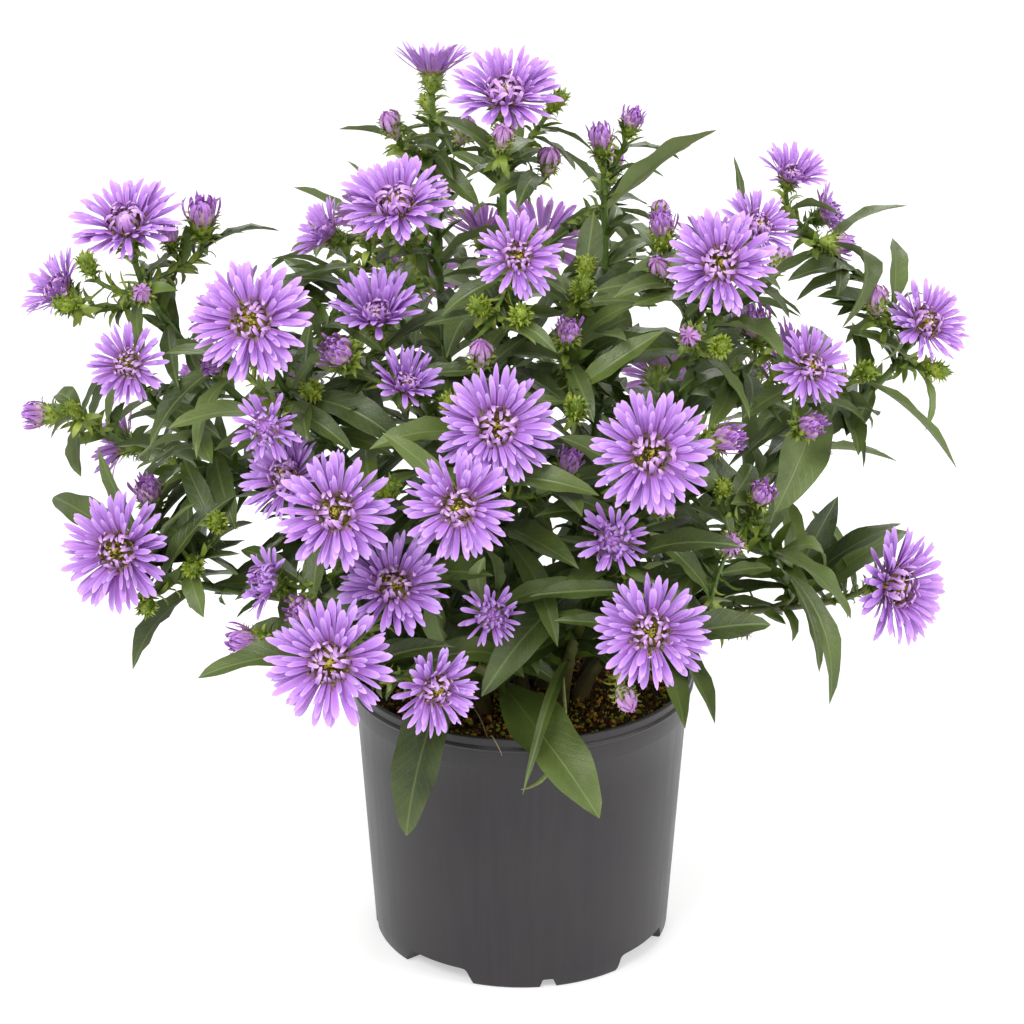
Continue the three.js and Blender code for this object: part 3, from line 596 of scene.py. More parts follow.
def ramp(tree, share, stops):
    """A colour that runs through stops, each a place and its 0 to 255 values."""
    made = add_node(tree, "ShaderNodeValToRGB", {0: share})
    band = made.color_ramp.elements
    band.remove(band[1])
    band[0].position = stops[0][0]
    band[0].color = paint(*stops[0][1:])
    for place, *colour in stops[1:]:
        band.new(place).color = paint(*colour)
    return made.outputs[0]


def object_place(tree):
    return add_node(tree, "ShaderNodeTexCoord").outputs["Object"]


def noise(tree, place, scale, detail=2):
    return output(tree, "ShaderNodeTexNoise", {"Vector": place, "Scale": scale, "Detail": detail})


def group_of(name, *inputs):
    """A new shader group with named numbers in, and their sockets."""
    group = bpy.data.node_groups.new(name, "ShaderNodeTree")
    for label in inputs:
        group.interface.new_socket(label, in_out="INPUT", socket_type="NodeSocketFloat")
    return group, group.nodes.new("NodeGroupInput").outputs


def closed(group, **numbers):
    """A shader group with named numbers out."""
    for label in numbers:
        group.interface.new_socket(label, in_out="OUTPUT", socket_type="NodeSocketFloat")
    add_node(group, "NodeGroupOutput", numbers)
    return group


def growth_group():
    """Soft mottling and fine grain, as on anything that has grown."""
    group, given = group_of("growth", "Size", "Grain")
    place = object_place(group)
    mottle = spread(group, noise(group, place, given["Size"], 3), 0.3, 0.7)
    return closed(group, Mottle=mottle, Height=noise(group, place, given["Grain"]))


def blade_group():
    """Where a point lies on its petal or leaf, which side it is on, and how dark that blade is."""
    group = group_of("blade place")[0]

    def mark(name):
        return add_node(group, "ShaderNodeAttribute", attribute_name=name).outputs

    along, across, side = add_node(group, "ShaderNodeSeparateXYZ", {0: mark("blade")["Vector"]}).outputs
    return closed(
        group, Along=along, Across=across, Off=maths(group, "ABSOLUTE", across),
        Upper=spread(group, side, -0.2, 0.2), Shade=mark("shade")["Fac"], Tone=mark("tone")["Fac"],
    )


GROWTH = growth_group()
BLADE = blade_group()


def use(tree, group, **inputs):
    made = add_node(tree, "ShaderNodeGroup", node_tree=group)
    for label, value in inputs.items():
        made.inputs[label.capitalize()].default_value = value
    return made.outputs


def material(name, **finish):
    """A material, its tree and its shader, with the numbers that are the same all over it."""
    made = bpy.data.materials.new(name)
    made.use_nodes = True
    shader = made.node_tree.nodes["Principled BSDF"]
    for label, value in finish.items():
        shader.inputs[label.replace("_", " ")].default_value = value
    return made, made.node_tree, shader


def surfaced(tree, shader, colour, height, strength, depth):
    """Gives a shader its colour, and bumps as deep as so many millimetres."""
    inputs = {"Height": height, "Strength": strength, "Distance": depth * MM}
    tree.links.new(colour, shader.inputs["Base Color"])
    tree.links.new(output(tree, "ShaderNodeBump", inputs), shader.inputs["Normal"])


# Finishes: colours by their 0 to 255 values, those of petals by shares of the way from base to tip

# Ray petals: the deep violet near the base is partly painted shade between overlapping petals, and the paler
# tips are partly a painted highlight, over the petals' own lilac.
RAY_STOPS = (
    (0.0, 204, 186, 110), (0.1, 206, 166, 172), (0.24, 178, 112, 204),
    (0.55, 196, 138, 226), (0.85, 206, 158, 236), (1.0, 216, 176, 242),
)
QUILL_STOPS = ((0.0, 92, 70, 26), (0.22, 140, 88, 96), (0.55, 190, 130, 188), (1.0, 236, 200, 232))
OPENING_STOPS = ((0.0, 220, 206, 160), (0.3, 204, 142, 180), (0.7, 180, 108, 196), (1.0, 210, 150, 230))
BUD_STOPS = ((0.0, 206, 204, 132), (0.3, 230, 208, 208), (0.7, 214, 164, 204), (1.0, 172, 108, 164))
# A pale painted highlight along the edges of ray, inner and opening petals.
PAINTED_RIM_HIGHLIGHT = (232, 206, 248)
LEAF_VEIN_GAP = 4.2
LEAF_VEIN_SLANT = 1.5


def petal_finish(name, stops, grooves, rim, rim_share, **finish):
    """Soft petals: coloured from base to tip, grooved lengthwise, with a painted highlight at the rim, except
    buds, whose rim colour is their own.
    """
    made, tree, shader = material(name, Roughness=0.5, Specular_IOR_Level=0.25, **finish)
    blade = use(tree, BLADE)
    growth = use(tree, GROWTH, size=260.0, grain=2600.0)
    wave = maths(tree, "SINE", times(tree, blade["Across"], grooves * math.pi))
    before_tip = spread(tree, blade["Along"], 0.7, 0.95, 1, 0)
    ridge = times(tree, spread(tree, wave, -1, 1), before_tip)
    colour = ramp(tree, blade["Along"], stops)
    colour = mixed(tree, times(tree, ridge, 0.3), colour, (166, 104, 206), "MULTIPLY")
    colour = coated(
        tree, colour,
        # The rim coat: a painted highlight on ray, inner and opening petals; on bud petals, their own darker
        # edge.
        (maths(tree, "POWER", blade["Off"], 3), rim_share, rim),
        (less(tree, 1, blade["Upper"]), 0.3, (204, 164, 236)),
        (less(tree, 1, blade["Shade"]), 0.25, (160, 90, 196)),
        (blade["Tone"], 0.55, (120, 52, 160)),
        (growth["Mottle"], 0.12, (172, 110, 208)),
    )
    surfaced(tree, shader, colour, ridge, 0.5, 0.25)
    return made


def leafy_finish(name, low, high, ends, roughness=0.5):
    """Green skin with soft mottling, which turns to another colour at the tips of its blades."""
    made, tree, shader = material(name, Roughness=roughness)
    blade = use(tree, BLADE)
    growth = use(tree, GROWTH, size=140.0, grain=1800.0)
    tone = plus(tree, times(tree, blade["Shade"], 0.6), growth["Mottle"])
    colour = mixed(tree, spread(tree, tone, 0.2, 1.4), low, high)
    colour = coated(tree, colour, (maths(tree, "POWER", blade["Along"], 3), 0.75, ends))
    surfaced(tree, shader, colour, growth["Height"], 0.25, 0.2)
    return made


def leaf_finish(name, dark, light, vein, depth, roughness):
    """A leaf's skin: midrib, slanting side veins and a fine net between them, in millimetres."""
    made, tree, shader = material(name, Roughness=roughness)
    blade = use(tree, BLADE)
    growth = use(tree, GROWTH, size=55.0, grain=2400.0)
    rib = spread(tree, blade["Off"], 0.15, 0.6, 1, 0)
    slant = less(tree, blade["Along"], times(tree, blade["Off"], LEAF_VEIN_SLANT))
    beat = maths(tree, "PINGPONG", maths(tree, "DIVIDE", slant, LEAF_VEIN_GAP), 0.5)
    side_vein = spread(tree, beat, 0.0, 0.09, 1, 0)
    inputs = {"Vector": joined(tree, blade["Along"], blade["Across"]), "Scale": 1.15}
    net = output(tree, "ShaderNodeTexVoronoi", inputs, feature="DISTANCE_TO_EDGE")
    net_line = spread(tree, net, 0.02, 0.12, 1, 0)
    veins = maths(tree, "MAXIMUM", rib, times(tree, side_vein, 0.4))
    veins = maths(tree, "MAXIMUM", veins, times(tree, net_line, 0.22))
    tone = plus(tree, times(tree, blade["Shade"], 0.7), times(tree, growth["Mottle"], 0.5))
    colour = mixed(tree, spread(tree, tone, 0.1, 1.1), dark, light)
    colour = coated(tree, colour, (veins, 0.5, vein))
    surfaced(tree, shader, colour, less(tree, times(tree, growth["Height"], 0.3), veins), depth, 0.35)
    return made


def stem_finish():
    """Green stems, browner and woodier down by the soil."""
    made, tree, shader = material("stem", Roughness=0.5)
    growth = use(tree, GROWTH, size=120.0, grain=1500.0)
    height = add_node(tree, "ShaderNodeSeparateXYZ", {0: object_place(tree)}).outputs[2]
    green = mixed(tree, growth["Mottle"], (54, 78, 26), (96, 122, 46))
    wood = mixed(tree, growth["Mottle"], (70, 60, 34), (104, 92, 56))
    colour = mixed(tree, spread(tree, height, 0.1, 0.17), wood, green)
    surfaced(tree, shader, colour, growth["Height"], 0.4, 0.3)
    return made


def pot_finish():
    """Satin moulded plastic, with faint upright streaks from the mould and a few scuffs."""
    made, tree, shader = material("pot plastic", Specular_IOR_Level=0.4)
    place = object_place(tree)
    drawn = output(tree, "ShaderNodeMapping", {"Vector": place, "Scale": (1, 1, 0.02)})
    streak = noise(tree, drawn, 420.0, 3)
    cloud = noise(tree, place, 30.0, 4)
    grain = noise(tree, place, 3000.0)
    speck = output(tree, "ShaderNodeTexVoronoi", {"Vector": place, "Scale": 150.0})
    colour = mixed(tree, spread(tree, streak, 0.35, 0.65), (41, 38, 41), (46, 43, 46))
    colour = mixed(tree, spread(tree, cloud, 0.4, 0.75, 0, 0.5), colour, (53, 49, 49))
    colour = mixed(tree, spread(tree, speck, 0.03, 0.05, 0.3, 0), colour, (74, 70, 70))
    rough = spread(tree, plus(tree, streak, cloud), 0.7, 1.3, 0.32, 0.44)
    tree.links.new(rough, shader.inputs["Roughness"])
    surfaced(tree, shader, colour, plus(tree, times(tree, streak, 0.6), grain), 0.12, 0.15)
    return made


def soil_finish(name, dark, light):
    """Rough dry stuff, in two tones."""
    made, tree, shader = material(name, Roughness=0.95, Specular_IOR_Level=0.15)
    growth = use(tree, GROWTH, size=300.0, grain=1600.0)
    tone = spread(tree, plus(tree, growth["Mottle"], use(tree, BLADE)["Shade"]), 0.2, 1.5)
    surfaced(tree, shader, mixed(tree, tone, dark, light), growth["Height"], 0.8, 0.6)
    return made


RAY_PETAL = petal_finish(
    "ray petal", RAY_STOPS, 5, PAINTED_RIM_HIGHLIGHT, 0.35, Subsurface_Weight=0.12, Subsurface_Scale=0.002,
)
QUILL_PETAL = petal_finish("inner petal", QUILL_STOPS, 3, PAINTED_RIM_HIGHLIGHT, 0.4)
OPENING_PETAL = petal_finish("opening petal", OPENING_STOPS, 3, PAINTED_RIM_HIGHLIGHT, 0.4)
BUD_PETAL = petal_finish("bud petal", BUD_STOPS, 2, (136, 70, 116), 0.75)
FLORET = leafy_finish("floret", (70, 48, 26), (168, 140, 66), (206, 190, 96), 0.6)
DISC_FLORET = leafy_finish("disc floret", (130, 110, 30), (214, 200, 80), (236, 224, 120))
DISC = leafy_finish("disc", (84, 78, 24), (150, 140, 50), (150, 140, 50), 0.7)
YOUNG_GREEN = leafy_finish("young green", (86, 110, 20), (176, 190, 68), (104, 124, 34))
BRACT = leafy_finish("bract", (66, 92, 16), (170, 186, 76), (78, 96, 28))
LITTLE_LEAF = leafy_finish("little leaf", (42, 62, 10), (102, 124, 40), (70, 90, 24))
LEAF = leaf_finish("leaf", (32, 46, 10), (96, 114, 48), (118, 136, 74), 0.45, 0.4)
LEAF_BACK = leaf_finish("leaf underside", (96, 112, 62), (134, 150, 94), (154, 168, 114), -0.4, 0.55)
STEM = stem_finish()
POT_PLASTIC = pot_finish()
PEAT = soil_finish("peat", (38, 26, 16), (86, 60, 34))
CRUMB_DARK = soil_finish("dark crumb", (34, 24, 16), (96, 66, 36))
CRUMB_OCHRE = soil_finish("ochre crumb", (128, 84, 30), (204, 148, 66))
CRUMB_MOSS = soil_finish("moss crumb", (84, 92, 22), (160, 160, 56))
DRY_ROOT = soil_finish("dry root", (176, 158, 116), (222, 208, 170))
DRY_LEAF = soil_finish("dry leaf", (116, 128, 78), (164, 172, 116))


# Blades: petals, leaves and scales, one long, with half widths by shares of the length

TIP_DETAIL = 1.6
THIN_EDGE = math.radians(60)
STRAP = ((0, 0.04), (0.2, 0.052), (0.45, 0.072), (0.72, 0.084), (0.88, 0.074), (0.96, 0.046), (1, 0.012))
SLIM_STRAP = ((0, 0.036), (0.2, 0.044), (0.5, 0.056), (0.75, 0.062), (0.88, 0.05), (0.96, 0.028), (1, 0.008))
WIDE_STRAP = ((0, 0.045), (0.2, 0.062), (0.5, 0.088), (0.75, 0.102), (0.89, 0.09), (0.96, 0.056), (1, 0.016))
QUILL = ((0, 0.05), (0.3, 0.075), (0.65, 0.095), (0.85, 0.09), (0.95, 0.06), (1, 0.02))
SCALE = ((0, 0.14), (0.35, 0.17), (0.65, 0.12), (0.85, 0.05), (1, 0.006))
BUD_SCALE = ((0, 0.1), (0.4, 0.16), (0.75, 0.12), (1, 0.03))
LANCE = ((0, 0.05), (0.25, 0.13), (0.5, 0.15), (0.75, 0.1), (1, 0.004))
FLORET_WIDE = ((0, 0.1), (0.6, 0.16), (1, 0.2))
FLORET_SLIM = ((0, 0.1), (0.6, 0.18), (1, 0.1))


def mesh_from(name, points, faces, finishes, marks=None, shades=None, slots=None):
    """A smooth mesh with its blade marks, its shades and the finish of each face."""
    made = bpy.data.meshes.new(name)
    made.from_pydata([tuple(point) for point in points], [], [tuple(face) for face in faces])
    for finish in finishes:
        made.materials.append(finish)
    if marks is not None:
        made.attributes.new("blade", "FLOAT_VECTOR", "POINT").data.foreach_set("vector", np.ravel(marks))
    if shades is not None:
        made.attributes.new("shade", "FLOAT", "POINT").data.foreach_set("value", shades)
    if slots is not None:
        made.polygons.foreach_set("material_index", slots)
    made.polygons.foreach_set("use_smooth", [True] * len(made.polygons))
    made.update()
    return made


def blade_grid(stations, columns):
    """Marks (along, across, side) and faces of a thin closed blade whose two sides meet at its edge.

    The cut across each square runs so that no face of one side has the same corners as one beneath.
    """
    marks, under = [], {}
    last = (stations - 1, columns - 1)
    for i in range(stations):
        for j in range(columns):
            rim = i in (0, last[0]) or j in (0, last[1])
            marks.append((i / last[0], 2 * j / last[1] - 1, 0 if rim else 1))
    for i in range(1, last[0]):
        for j in range(1, last[1]):
            under[i, j] = len(marks)
            marks.append((i / last[0], 2 * j / last[1] - 1, -1))
    upper_faces, lower_faces = [], []
    for i in range(last[0]):
        for j in range(last[1]):
            near, far = ((i, j), (i, j + 1)), ((i + 1, j), (i + 1, j + 1))
            if (2 * i < last[0]) == (2 * j < last[1]):
                halves = (near[0], far[0], far[1]), (near[0], far[1], near[1])
            else:
                halves = (near[0], far[0], near[1]), (near[1], far[0], far[1])
            for corners in halves:
                upper_faces.append([a * columns + b for a, b in corners])
                lower_faces.append([under.get((a, b), a * columns + b) for a, b in reversed(corners)])
    return np.array(marks, float), upper_faces, lower_faces


def run_of(shares, slopes):
    """Where a midrib one long runs, out and up, when it has the given slopes in degrees."""
    fine = np.linspace(0, 1, 101)
    angle = np.radians(np.interp(fine, *zip(*slopes)))
    out = np.concatenate(((0,), np.cumsum(np.cos(angle[:-1])) / 100))
    up = np.concatenate(((0,), np.cumsum(np.sin(angle[:-1])) / 100))
    return np.interp(shares, fine, out), np.interp(shares, fine, up), np.interp(shares, fine, angle)


def petal(name, halves, slopes, cup, thickness, stations, columns=3):
    """A blade along +X, one long, which bends by slopes in degrees and whose edges rise by its cup."""
    marks, upper, lower = blade_grid(stations, columns)
    marks[:, 0] = 1 - (1 - marks[:, 0]) ** TIP_DETAIL
    along, across, side = marks.T
    out, up, angle = run_of(along, slopes)
    half = np.interp(along, *zip(*halves))
    lift = cup * half * across ** 2 + side * thickness / 2
    points = np.stack((out - np.sin(angle) * lift, half * across, up + np.cos(angle) * lift), axis=1)
    made = mesh_from(name, points, upper + lower, (), marks)
    made.set_sharp_from_angle(angle=THIN_EDGE)
    return made


def collection_of(name, meshes):
    """A collection that is never shown, for a node tree to pick from."""
    made = bpy.data.collections.new(name)
    for mesh in meshes:
        made.objects.link(bpy.data.objects.new(mesh.name, mesh))
    return made


def petals_of(name, thickness, shapes, stations=6):
    """A collection of blades, each with its half widths, its slopes and its cup."""
    return collection_of(name, [
        petal(f"{name}_{label}", *shape, thickness, stations) for label, shape in shapes.items()
    ])


RAYS = petals_of("ray", 0.012, {
    "flat": (STRAP, ((0, 12), (0.5, 2), (1, -8)), -0.2),
    "arched": (STRAP, ((0, 20), (0.6, -4), (1, -26)), 0.2),
    "lifted": (SLIM_STRAP, ((0, 0), (0.5, 6), (1, 18)), 0.35),
    "wide": (WIDE_STRAP, ((0, 8), (0.6, 0), (1, -14)), -0.15),
    "hollow": (SLIM_STRAP, ((0, -4), (0.6, 6), (1, -6)), 0.55),
})
QUILLS = petals_of("quill", 0.04, {
    "curled": (QUILL, ((0, -25), (0.35, 20), (0.7, 90), (1, 130)), -0.3),
    "bent": (QUILL, ((0, -15), (0.4, 30), (1, 95)), -0.45),
    "folded": (QUILL, ((0, -5), (0.5, 35), (1, 70)), 0.5),
})
FLORETS = petals_of("floret", 0.12, {
    "open": (FLORET_WIDE, ((0, 0), (1, 10)), 1.2),
    "bent": (FLORET_SLIM, ((0, 0), (1, 40)), 1.0),
}, stations=4)
SCALES = petals_of("scale", 0.04, {
    "spreading": (SCALE, ((0, 40), (0.4, 10), (1, -70)), 0.5),
    "upright": (SCALE, ((0, 25), (0.6, 5), (1, -35)), 0.5),
    "recurved": (SCALE, ((0, 45), (0.5, -10), (1, -100)), 0.4),
})
LITTLE_LEAVES = petals_of("little leaf", 0.025, {
    "arched": (LANCE, ((0, 25), (0.5, 0), (1, -40)), 0.4),
    "upright": (LANCE, ((0, 10), (0.6, 10), (1, -12)), 0.5),
    "curled": (LANCE, ((0, 30), (0.5, -10), (1, -85)), 0.3),
})
BUD_PETALS = petals_of("bud petal", 0.05, {
    "plain": (BUD_SCALE, ((0, -20), (0.5, 20), (1, 60)), -0.8),
    "twisted": (BUD_SCALE, ((0, -25), (0.5, 25), (1, 50)), -0.6),
})
BRUSH = petals_of("brush petal", 0.02, {
    "straight": (STRAP, ((0, -12), (0.6, 4), (1, 20)), -0.5),
    "hooked": (STRAP, ((0, -16), (0.5, 10), (1, 60)), -0.4),
    "open": (SLIM_STRAP, ((0, -8), (0.6, 0), (1, -8)), 0.3),
})


# Geometry nodes for what repeats

WHORL_NUMBERS = (
    "Inner radius", "Outer radius", "Inner lean", "Outer lean", "Inner size", "Outer size", "Inner height",
    "Outer height", "Lean spread", "Turn spread", "Size spread", "Roll", "Tone",
)
SPRIG_LEAN = (math.radians(15), math.radians(50))
SMALL_CRUMBS = 2.5


def shape_tree(name, **inputs):
    """A geometry tree with named inputs, each with its kind, and its ends."""
    tree = bpy.data.node_groups.new(name, "GeometryNodeTree")
    for label, kind in inputs.items():
        tree.interface.new_socket(label, in_out="INPUT", socket_type=f"NodeSocket{kind}")
    tree.interface.new_socket("Geometry", in_out="OUTPUT", socket_type="NodeSocketGeometry")
    given = tree.nodes.new("NodeGroupInput").outputs
    return tree, given, tree.nodes.new("NodeGroupOutput").inputs["Geometry"]


def chance(tree, low, high, seed, salt):
    """A number from low to high for each point, with its own salt on the seed."""
    inputs = {2: low, 3: high, 8: plus(tree, seed, salt)}
    return add_node(tree, "FunctionNodeRandomValue", inputs, data_type="FLOAT").outputs[1]


def stray(tree, most, seed, salt):
    """A number for each point, up to the most either way."""
    return chance(tree, times(tree, most, -1), most, seed, salt)


def marked(tree, shape, label, value):
    inputs = {0: shape, 2: label, 3: value}
    return output(tree, "GeometryNodeStoreNamedAttribute", inputs, data_type="FLOAT", domain="POINT")


def point_number(tree):
    return output(tree, "GeometryNodeInputIndex")


def spiral_turn(tree, strays):
    """How far round each point of a spiral stands."""
    return plus(tree, times(tree, point_number(tree), math.radians(GOLDEN_ANGLE)), strays)


def finished(tree, shape, finish, end):
    """The last nodes of each tree: smooth shading, real geometry and its finish."""
    smooth = output(tree, "GeometryNodeSetShadeSmooth", {0: shape})
    real = output(tree, "GeometryNodeRealizeInstances", {0: smooth})
    tree.links.new(output(tree, "GeometryNodeSetMaterial", {0: real, 2: finish}), end)


def parts_on(tree, given, end, points, attitude, size):
    """Parts picked by chance, one on each point, as the end of a tree."""
    parts = output(tree, "GeometryNodeCollectionInfo", {0: given["Parts"], 1: True, 2: True})
    inputs = {4: 0, 5: 11, 8: given["Seed"]}
    pick = add_node(tree, "FunctionNodeRandomValue", inputs, data_type="INT").outputs[2]
    inputs = {0: points, 2: parts, 3: True, 4: pick, 5: attitude, 6: size}
    finished(tree, output(tree, "GeometryNodeInstanceOnPoints", inputs), given["Finish"], end)
    return tree


def whorl_tree():
    """Parts in a whorl or spiral round an axis, leaning out between two slopes and two sizes."""
    numbers = dict.fromkeys(WHORL_NUMBERS, "Float")
    tree, given, end = shape_tree(
        "whorl", Parts="Collection", Count="Int", Seed="Int", Finish="Material", **numbers,
    )
    seed = given["Seed"]
    share = maths(tree, "DIVIDE", plus(tree, point_number(tree), 0.5), given["Count"])

    def between(label):
        inputs = {0: share, 2: given[f"Inner {label}"], 3: given[f"Outer {label}"]}
        return output(tree, "ShaderNodeMix", inputs, data_type="FLOAT")

    turn = spiral_turn(tree, stray(tree, given["Turn spread"], seed, 1))
    lean = plus(tree, between("lean"), stray(tree, given["Lean spread"], seed, 2))
    attitude = joined(tree, stray(tree, given["Roll"], seed, 3), times(tree, lean, -1), turn)
    smallest = less(tree, 1, given["Size spread"])
    size = times(tree, between("size"), chance(tree, smallest, 1, seed, 4))
    radius = between("radius")
    out = [times(tree, radius, maths(tree, way, turn)) for way in ("COSINE", "SINE")]
    place = joined(tree, *out, between("height"))
    points = output(tree, "GeometryNodePoints", {0: given["Count"], 1: place})
    points = marked(tree, points, "shade", chance(tree, 0.0, 1.0, seed, 5))
    points = marked(tree, points, "tone", given["Tone"])
    return parts_on(tree, given, end, points, attitude, size)


def tube_tree():
    """Round stems along lines, as thick as each point says."""
    tree, given, end = shape_tree("tubes", Lines="Geometry", Sides="Int", Finish="Material")
    thick = output(tree, "GeometryNodeInputNamedAttribute", {0: "thick"}, data_type="FLOAT")
    curve = output(tree, "GeometryNodeMeshToCurve", {0: given["Lines"]})
    profile = output(tree, "GeometryNodeCurvePrimitiveCircle", {0: given["Sides"], 4: 1.0})
    tube = output(tree, "GeometryNodeCurveToMesh", {0: curve, 1: profile, 2: thick, 3: True})
    finished(tree, tube, given["Finish"], end)
    return tree


def sprig_tree():
    """Little leaves all along lines, in a spiral."""
    tree, given, end = shape_tree(
        "sprigs", Lines="Geometry", Parts="Collection", Spacing="Float", Smallest="Float", Largest="Float",
        Seed="Int", Finish="Material",
    )
    seed = given["Seed"]
    curve = output(tree, "GeometryNodeMeshToCurve", {0: given["Lines"]})
    inputs = {0: curve, 2: given["Spacing"]}
    steps = add_node(tree, "GeometryNodeCurveToPoints", inputs, mode="LENGTH").outputs
    points = marked(tree, steps["Points"], "shade", chance(tree, 0.0, 1.0, seed, 1))
    turn = spiral_turn(tree, chance(tree, -0.5, 0.5, seed, 2))
    lean = times(tree, chance(tree, *SPRIG_LEAN, seed, 3), -1)
    own = joined(tree, chance(tree, -0.3, 0.3, seed, 4), lean, turn)
    inputs = {0: steps["Rotation"], 1: output(tree, "FunctionNodeEulerToRotation", {0: own})}
    attitude = output(tree, "FunctionNodeRotateRotation", inputs, rotation_space="LOCAL")
    size = chance(tree, given["Smallest"], given["Largest"], seed, 5)
    return parts_on(tree, given, end, points, attitude, size)


def scatter_tree():
    """Crumbs strewn over a surface, each turned at random, with more small ones than large ones."""
    tree, given, end = shape_tree(
        "strewn crumbs", Ground="Geometry", Parts="Collection", Density="Float", Smallest="Float",
        Largest="Float", Seed="Int", Finish="Material",
    )
    seed = given["Seed"]
    inputs = {0: given["Ground"], 4: given["Density"], 6: seed}
    points = output(tree, "GeometryNodeDistributePointsOnFaces", inputs)
    points = marked(tree, points, "shade", chance(tree, 0.0, 1.0, seed, 1))
    attitude = joined(tree, *(chance(tree, 0.0, 2 * math.pi, seed, salt) for salt in (2, 3, 4)))
    share = maths(tree, "POWER", chance(tree, 0.0, 1.0, seed, 5), SMALL_CRUMBS)
    size = spread(tree, share, 0, 1, given["Smallest"], given["Largest"])
    return parts_on(tree, given, end, points, attitude, size)


WHORL_TREE = whorl_tree()
TUBE_TREE = tube_tree()
SPRIG_TREE = sprig_tree()
SCATTER_TREE = scatter_tree()


def stood(data):
    """A mesh, lamp or camera as an object in the scene."""
    made = bpy.data.objects.new(data.name, data)
    bpy.context.scene.collection.objects.link(made)
    return made


def baked(source, modifier):
    """The plain mesh that an object becomes by its modifier. The object is then gone."""
    view = bpy.context.evaluated_depsgraph_get()
    made = bpy.data.meshes.new_from_object(source.evaluated_get(view), depsgraph=view)
    source.modifiers.remove(modifier)
    bpy.data.objects.remove(source)
    return made


def shaped(tree, mesh=None, **inputs):
    """The plain mesh that a tree makes with these inputs."""
    source = stood(mesh or bpy.data.meshes.new("nothing"))
    modifier = source.modifiers.new("shape", "NODES")
    modifier.node_group = tree
    for item in tree.interface.items_tree:
        if item.in_out == "INPUT" and item.name in inputs:
            modifier[item.identifier] = inputs[item.name]
    return baked(source, modifier)


def piece_of(name, meshes, slot, *nodes):
    """One finished piece from several meshes in millimetres, which takes the place of its solids."""
    objects = [stood(mesh) for mesh in meshes]
    whole = objects[0]
    if len(objects) > 1:
        with bpy.context.temp_override(
            active_object=whole, object=whole, selected_objects=objects, selected_editable_objects=objects,
        ):
            bpy.ops.object.join()
    whole.name = name
    whole.data.name = name
    whole.data.transform(Matrix.Scale(MM, 4))
    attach(whole, "root")
    if nodes:
        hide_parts(*nodes)


# Round shapes

def ring_faces(count, around):
    """The faces between rings of points, from each ring to the next."""
    faces = []
    for i in range(count - 1):
        for j in range(around):
            k = (j + 1) % around
            faces.append([i * around + j, i * around + k, (i + 1) * around + k, (i + 1) * around + j])
    return faces


def skinned(name, rings, finish):
    """A closed skin over rings of points, each ring anticlockwise when seen from its far end."""
    rings = np.array(rings, float)
    count, around = rings.shape[:2]
    ends = [range(around - 1, -1, -1), range((count - 1) * around, count * around)]
    return mesh_from(name, rings.reshape(-1, 3), ends + ring_faces(count, around), (finish,))


def lathed(profile, sides, finish, size=1):
    """A closed skin round Z over a profile of radii and heights, in shares of a size."""
    angle = np.linspace(0, 2 * math.pi, sides, endpoint=False)
    around = np.stack((np.cos(angle), np.sin(angle)), axis=1)
    rings = [np.insert(around * (radius * size), 2, height * size, axis=1) for radius, height in profile]
    return skinned("lathed", rings, finish)


# Flowers: bodies are profiles of radii and heights, and all is in shares of the head's radius

CORE = ((0.05, -0.2), (0.14, -0.14), (0.22, -0.06), (0.27, 0.02), (0.22, 0.08), (0.1, 0.1), (0.02, 0.1))
CUP = ((0.06, -0.5), (0.1, -0.44), (0.18, -0.34), (0.24, -0.2), (0.27, -0.05), (0.2, -0.02))
OPENING_CUP = ((0.1, -0.9), (0.2, -0.78), (0.38, -0.5), (0.46, -0.1), (0.44, 0.25), (0.2, 0.3))
OPENING_CORE = ((0.3, 0.2), (0.5, 0.3), (0.52, 0.6), (0.34, 0.85), (0.06, 0.92))
BUD_BODY = ((0.12, -1.1), (0.24, -0.98), (0.44, -0.6), (0.54, -0.1), (0.52, 0.4), (0.34, 0.85), (0.08, 1.1))
CORE_SIDES = 18
CUP_SIDES = 14
OPENING_SIDES = 12
RAY_REACH = 0.8
RAYS_PER_MILLIMETRE = 1.75
FEWEST_RAYS = 24

# A flower has more inner petals the steeper its petals stand, in degrees, and the more it faces up.
FULL_STAND = 22
FULL_FACING = (0.66, 0.86)

# Flowers of a smaller radius, in millimetres, are half open unless they stand steeper than this.
CURLED_BELOW = 14.8
CURLED_STAND = 30
CURLED_RAYS = 26
CURLED_QUILLS = 34
CURLED_REACH = 0.86

# Buds of a smaller radius are still green.
YOUNG_BUD = 4.2
BUD_FULLER = 1.2


def whorl(size, seed, parts, finish, count, radii, leans, sizes, heights, wild, roll=16, tone=0.0):
    """Parts round an axis, each pair of numbers from the inner parts to the outer ones.

    Leans are in degrees. Wild is how far leans and turns stray, in degrees, and how far sizes do,
    as a share.
    """
    values = [radius * size for radius in radii]
    values += [math.radians(lean) for lean in leans]
    values += [share * size for share in (*sizes, *heights)]
    values += [math.radians(wild[0]), math.radians(wild[1]), wild[2], math.radians(roll), tone]
    numbers = dict(zip(WHORL_NUMBERS, map(float, values)))
    return shaped(WHORL_TREE, Parts=parts, Finish=finish, Count=count, Seed=seed, **numbers)


def whorls(size, seed, *rows):
    return [whorl(size, seed + k, *row) for k, row in enumerate(rows)]


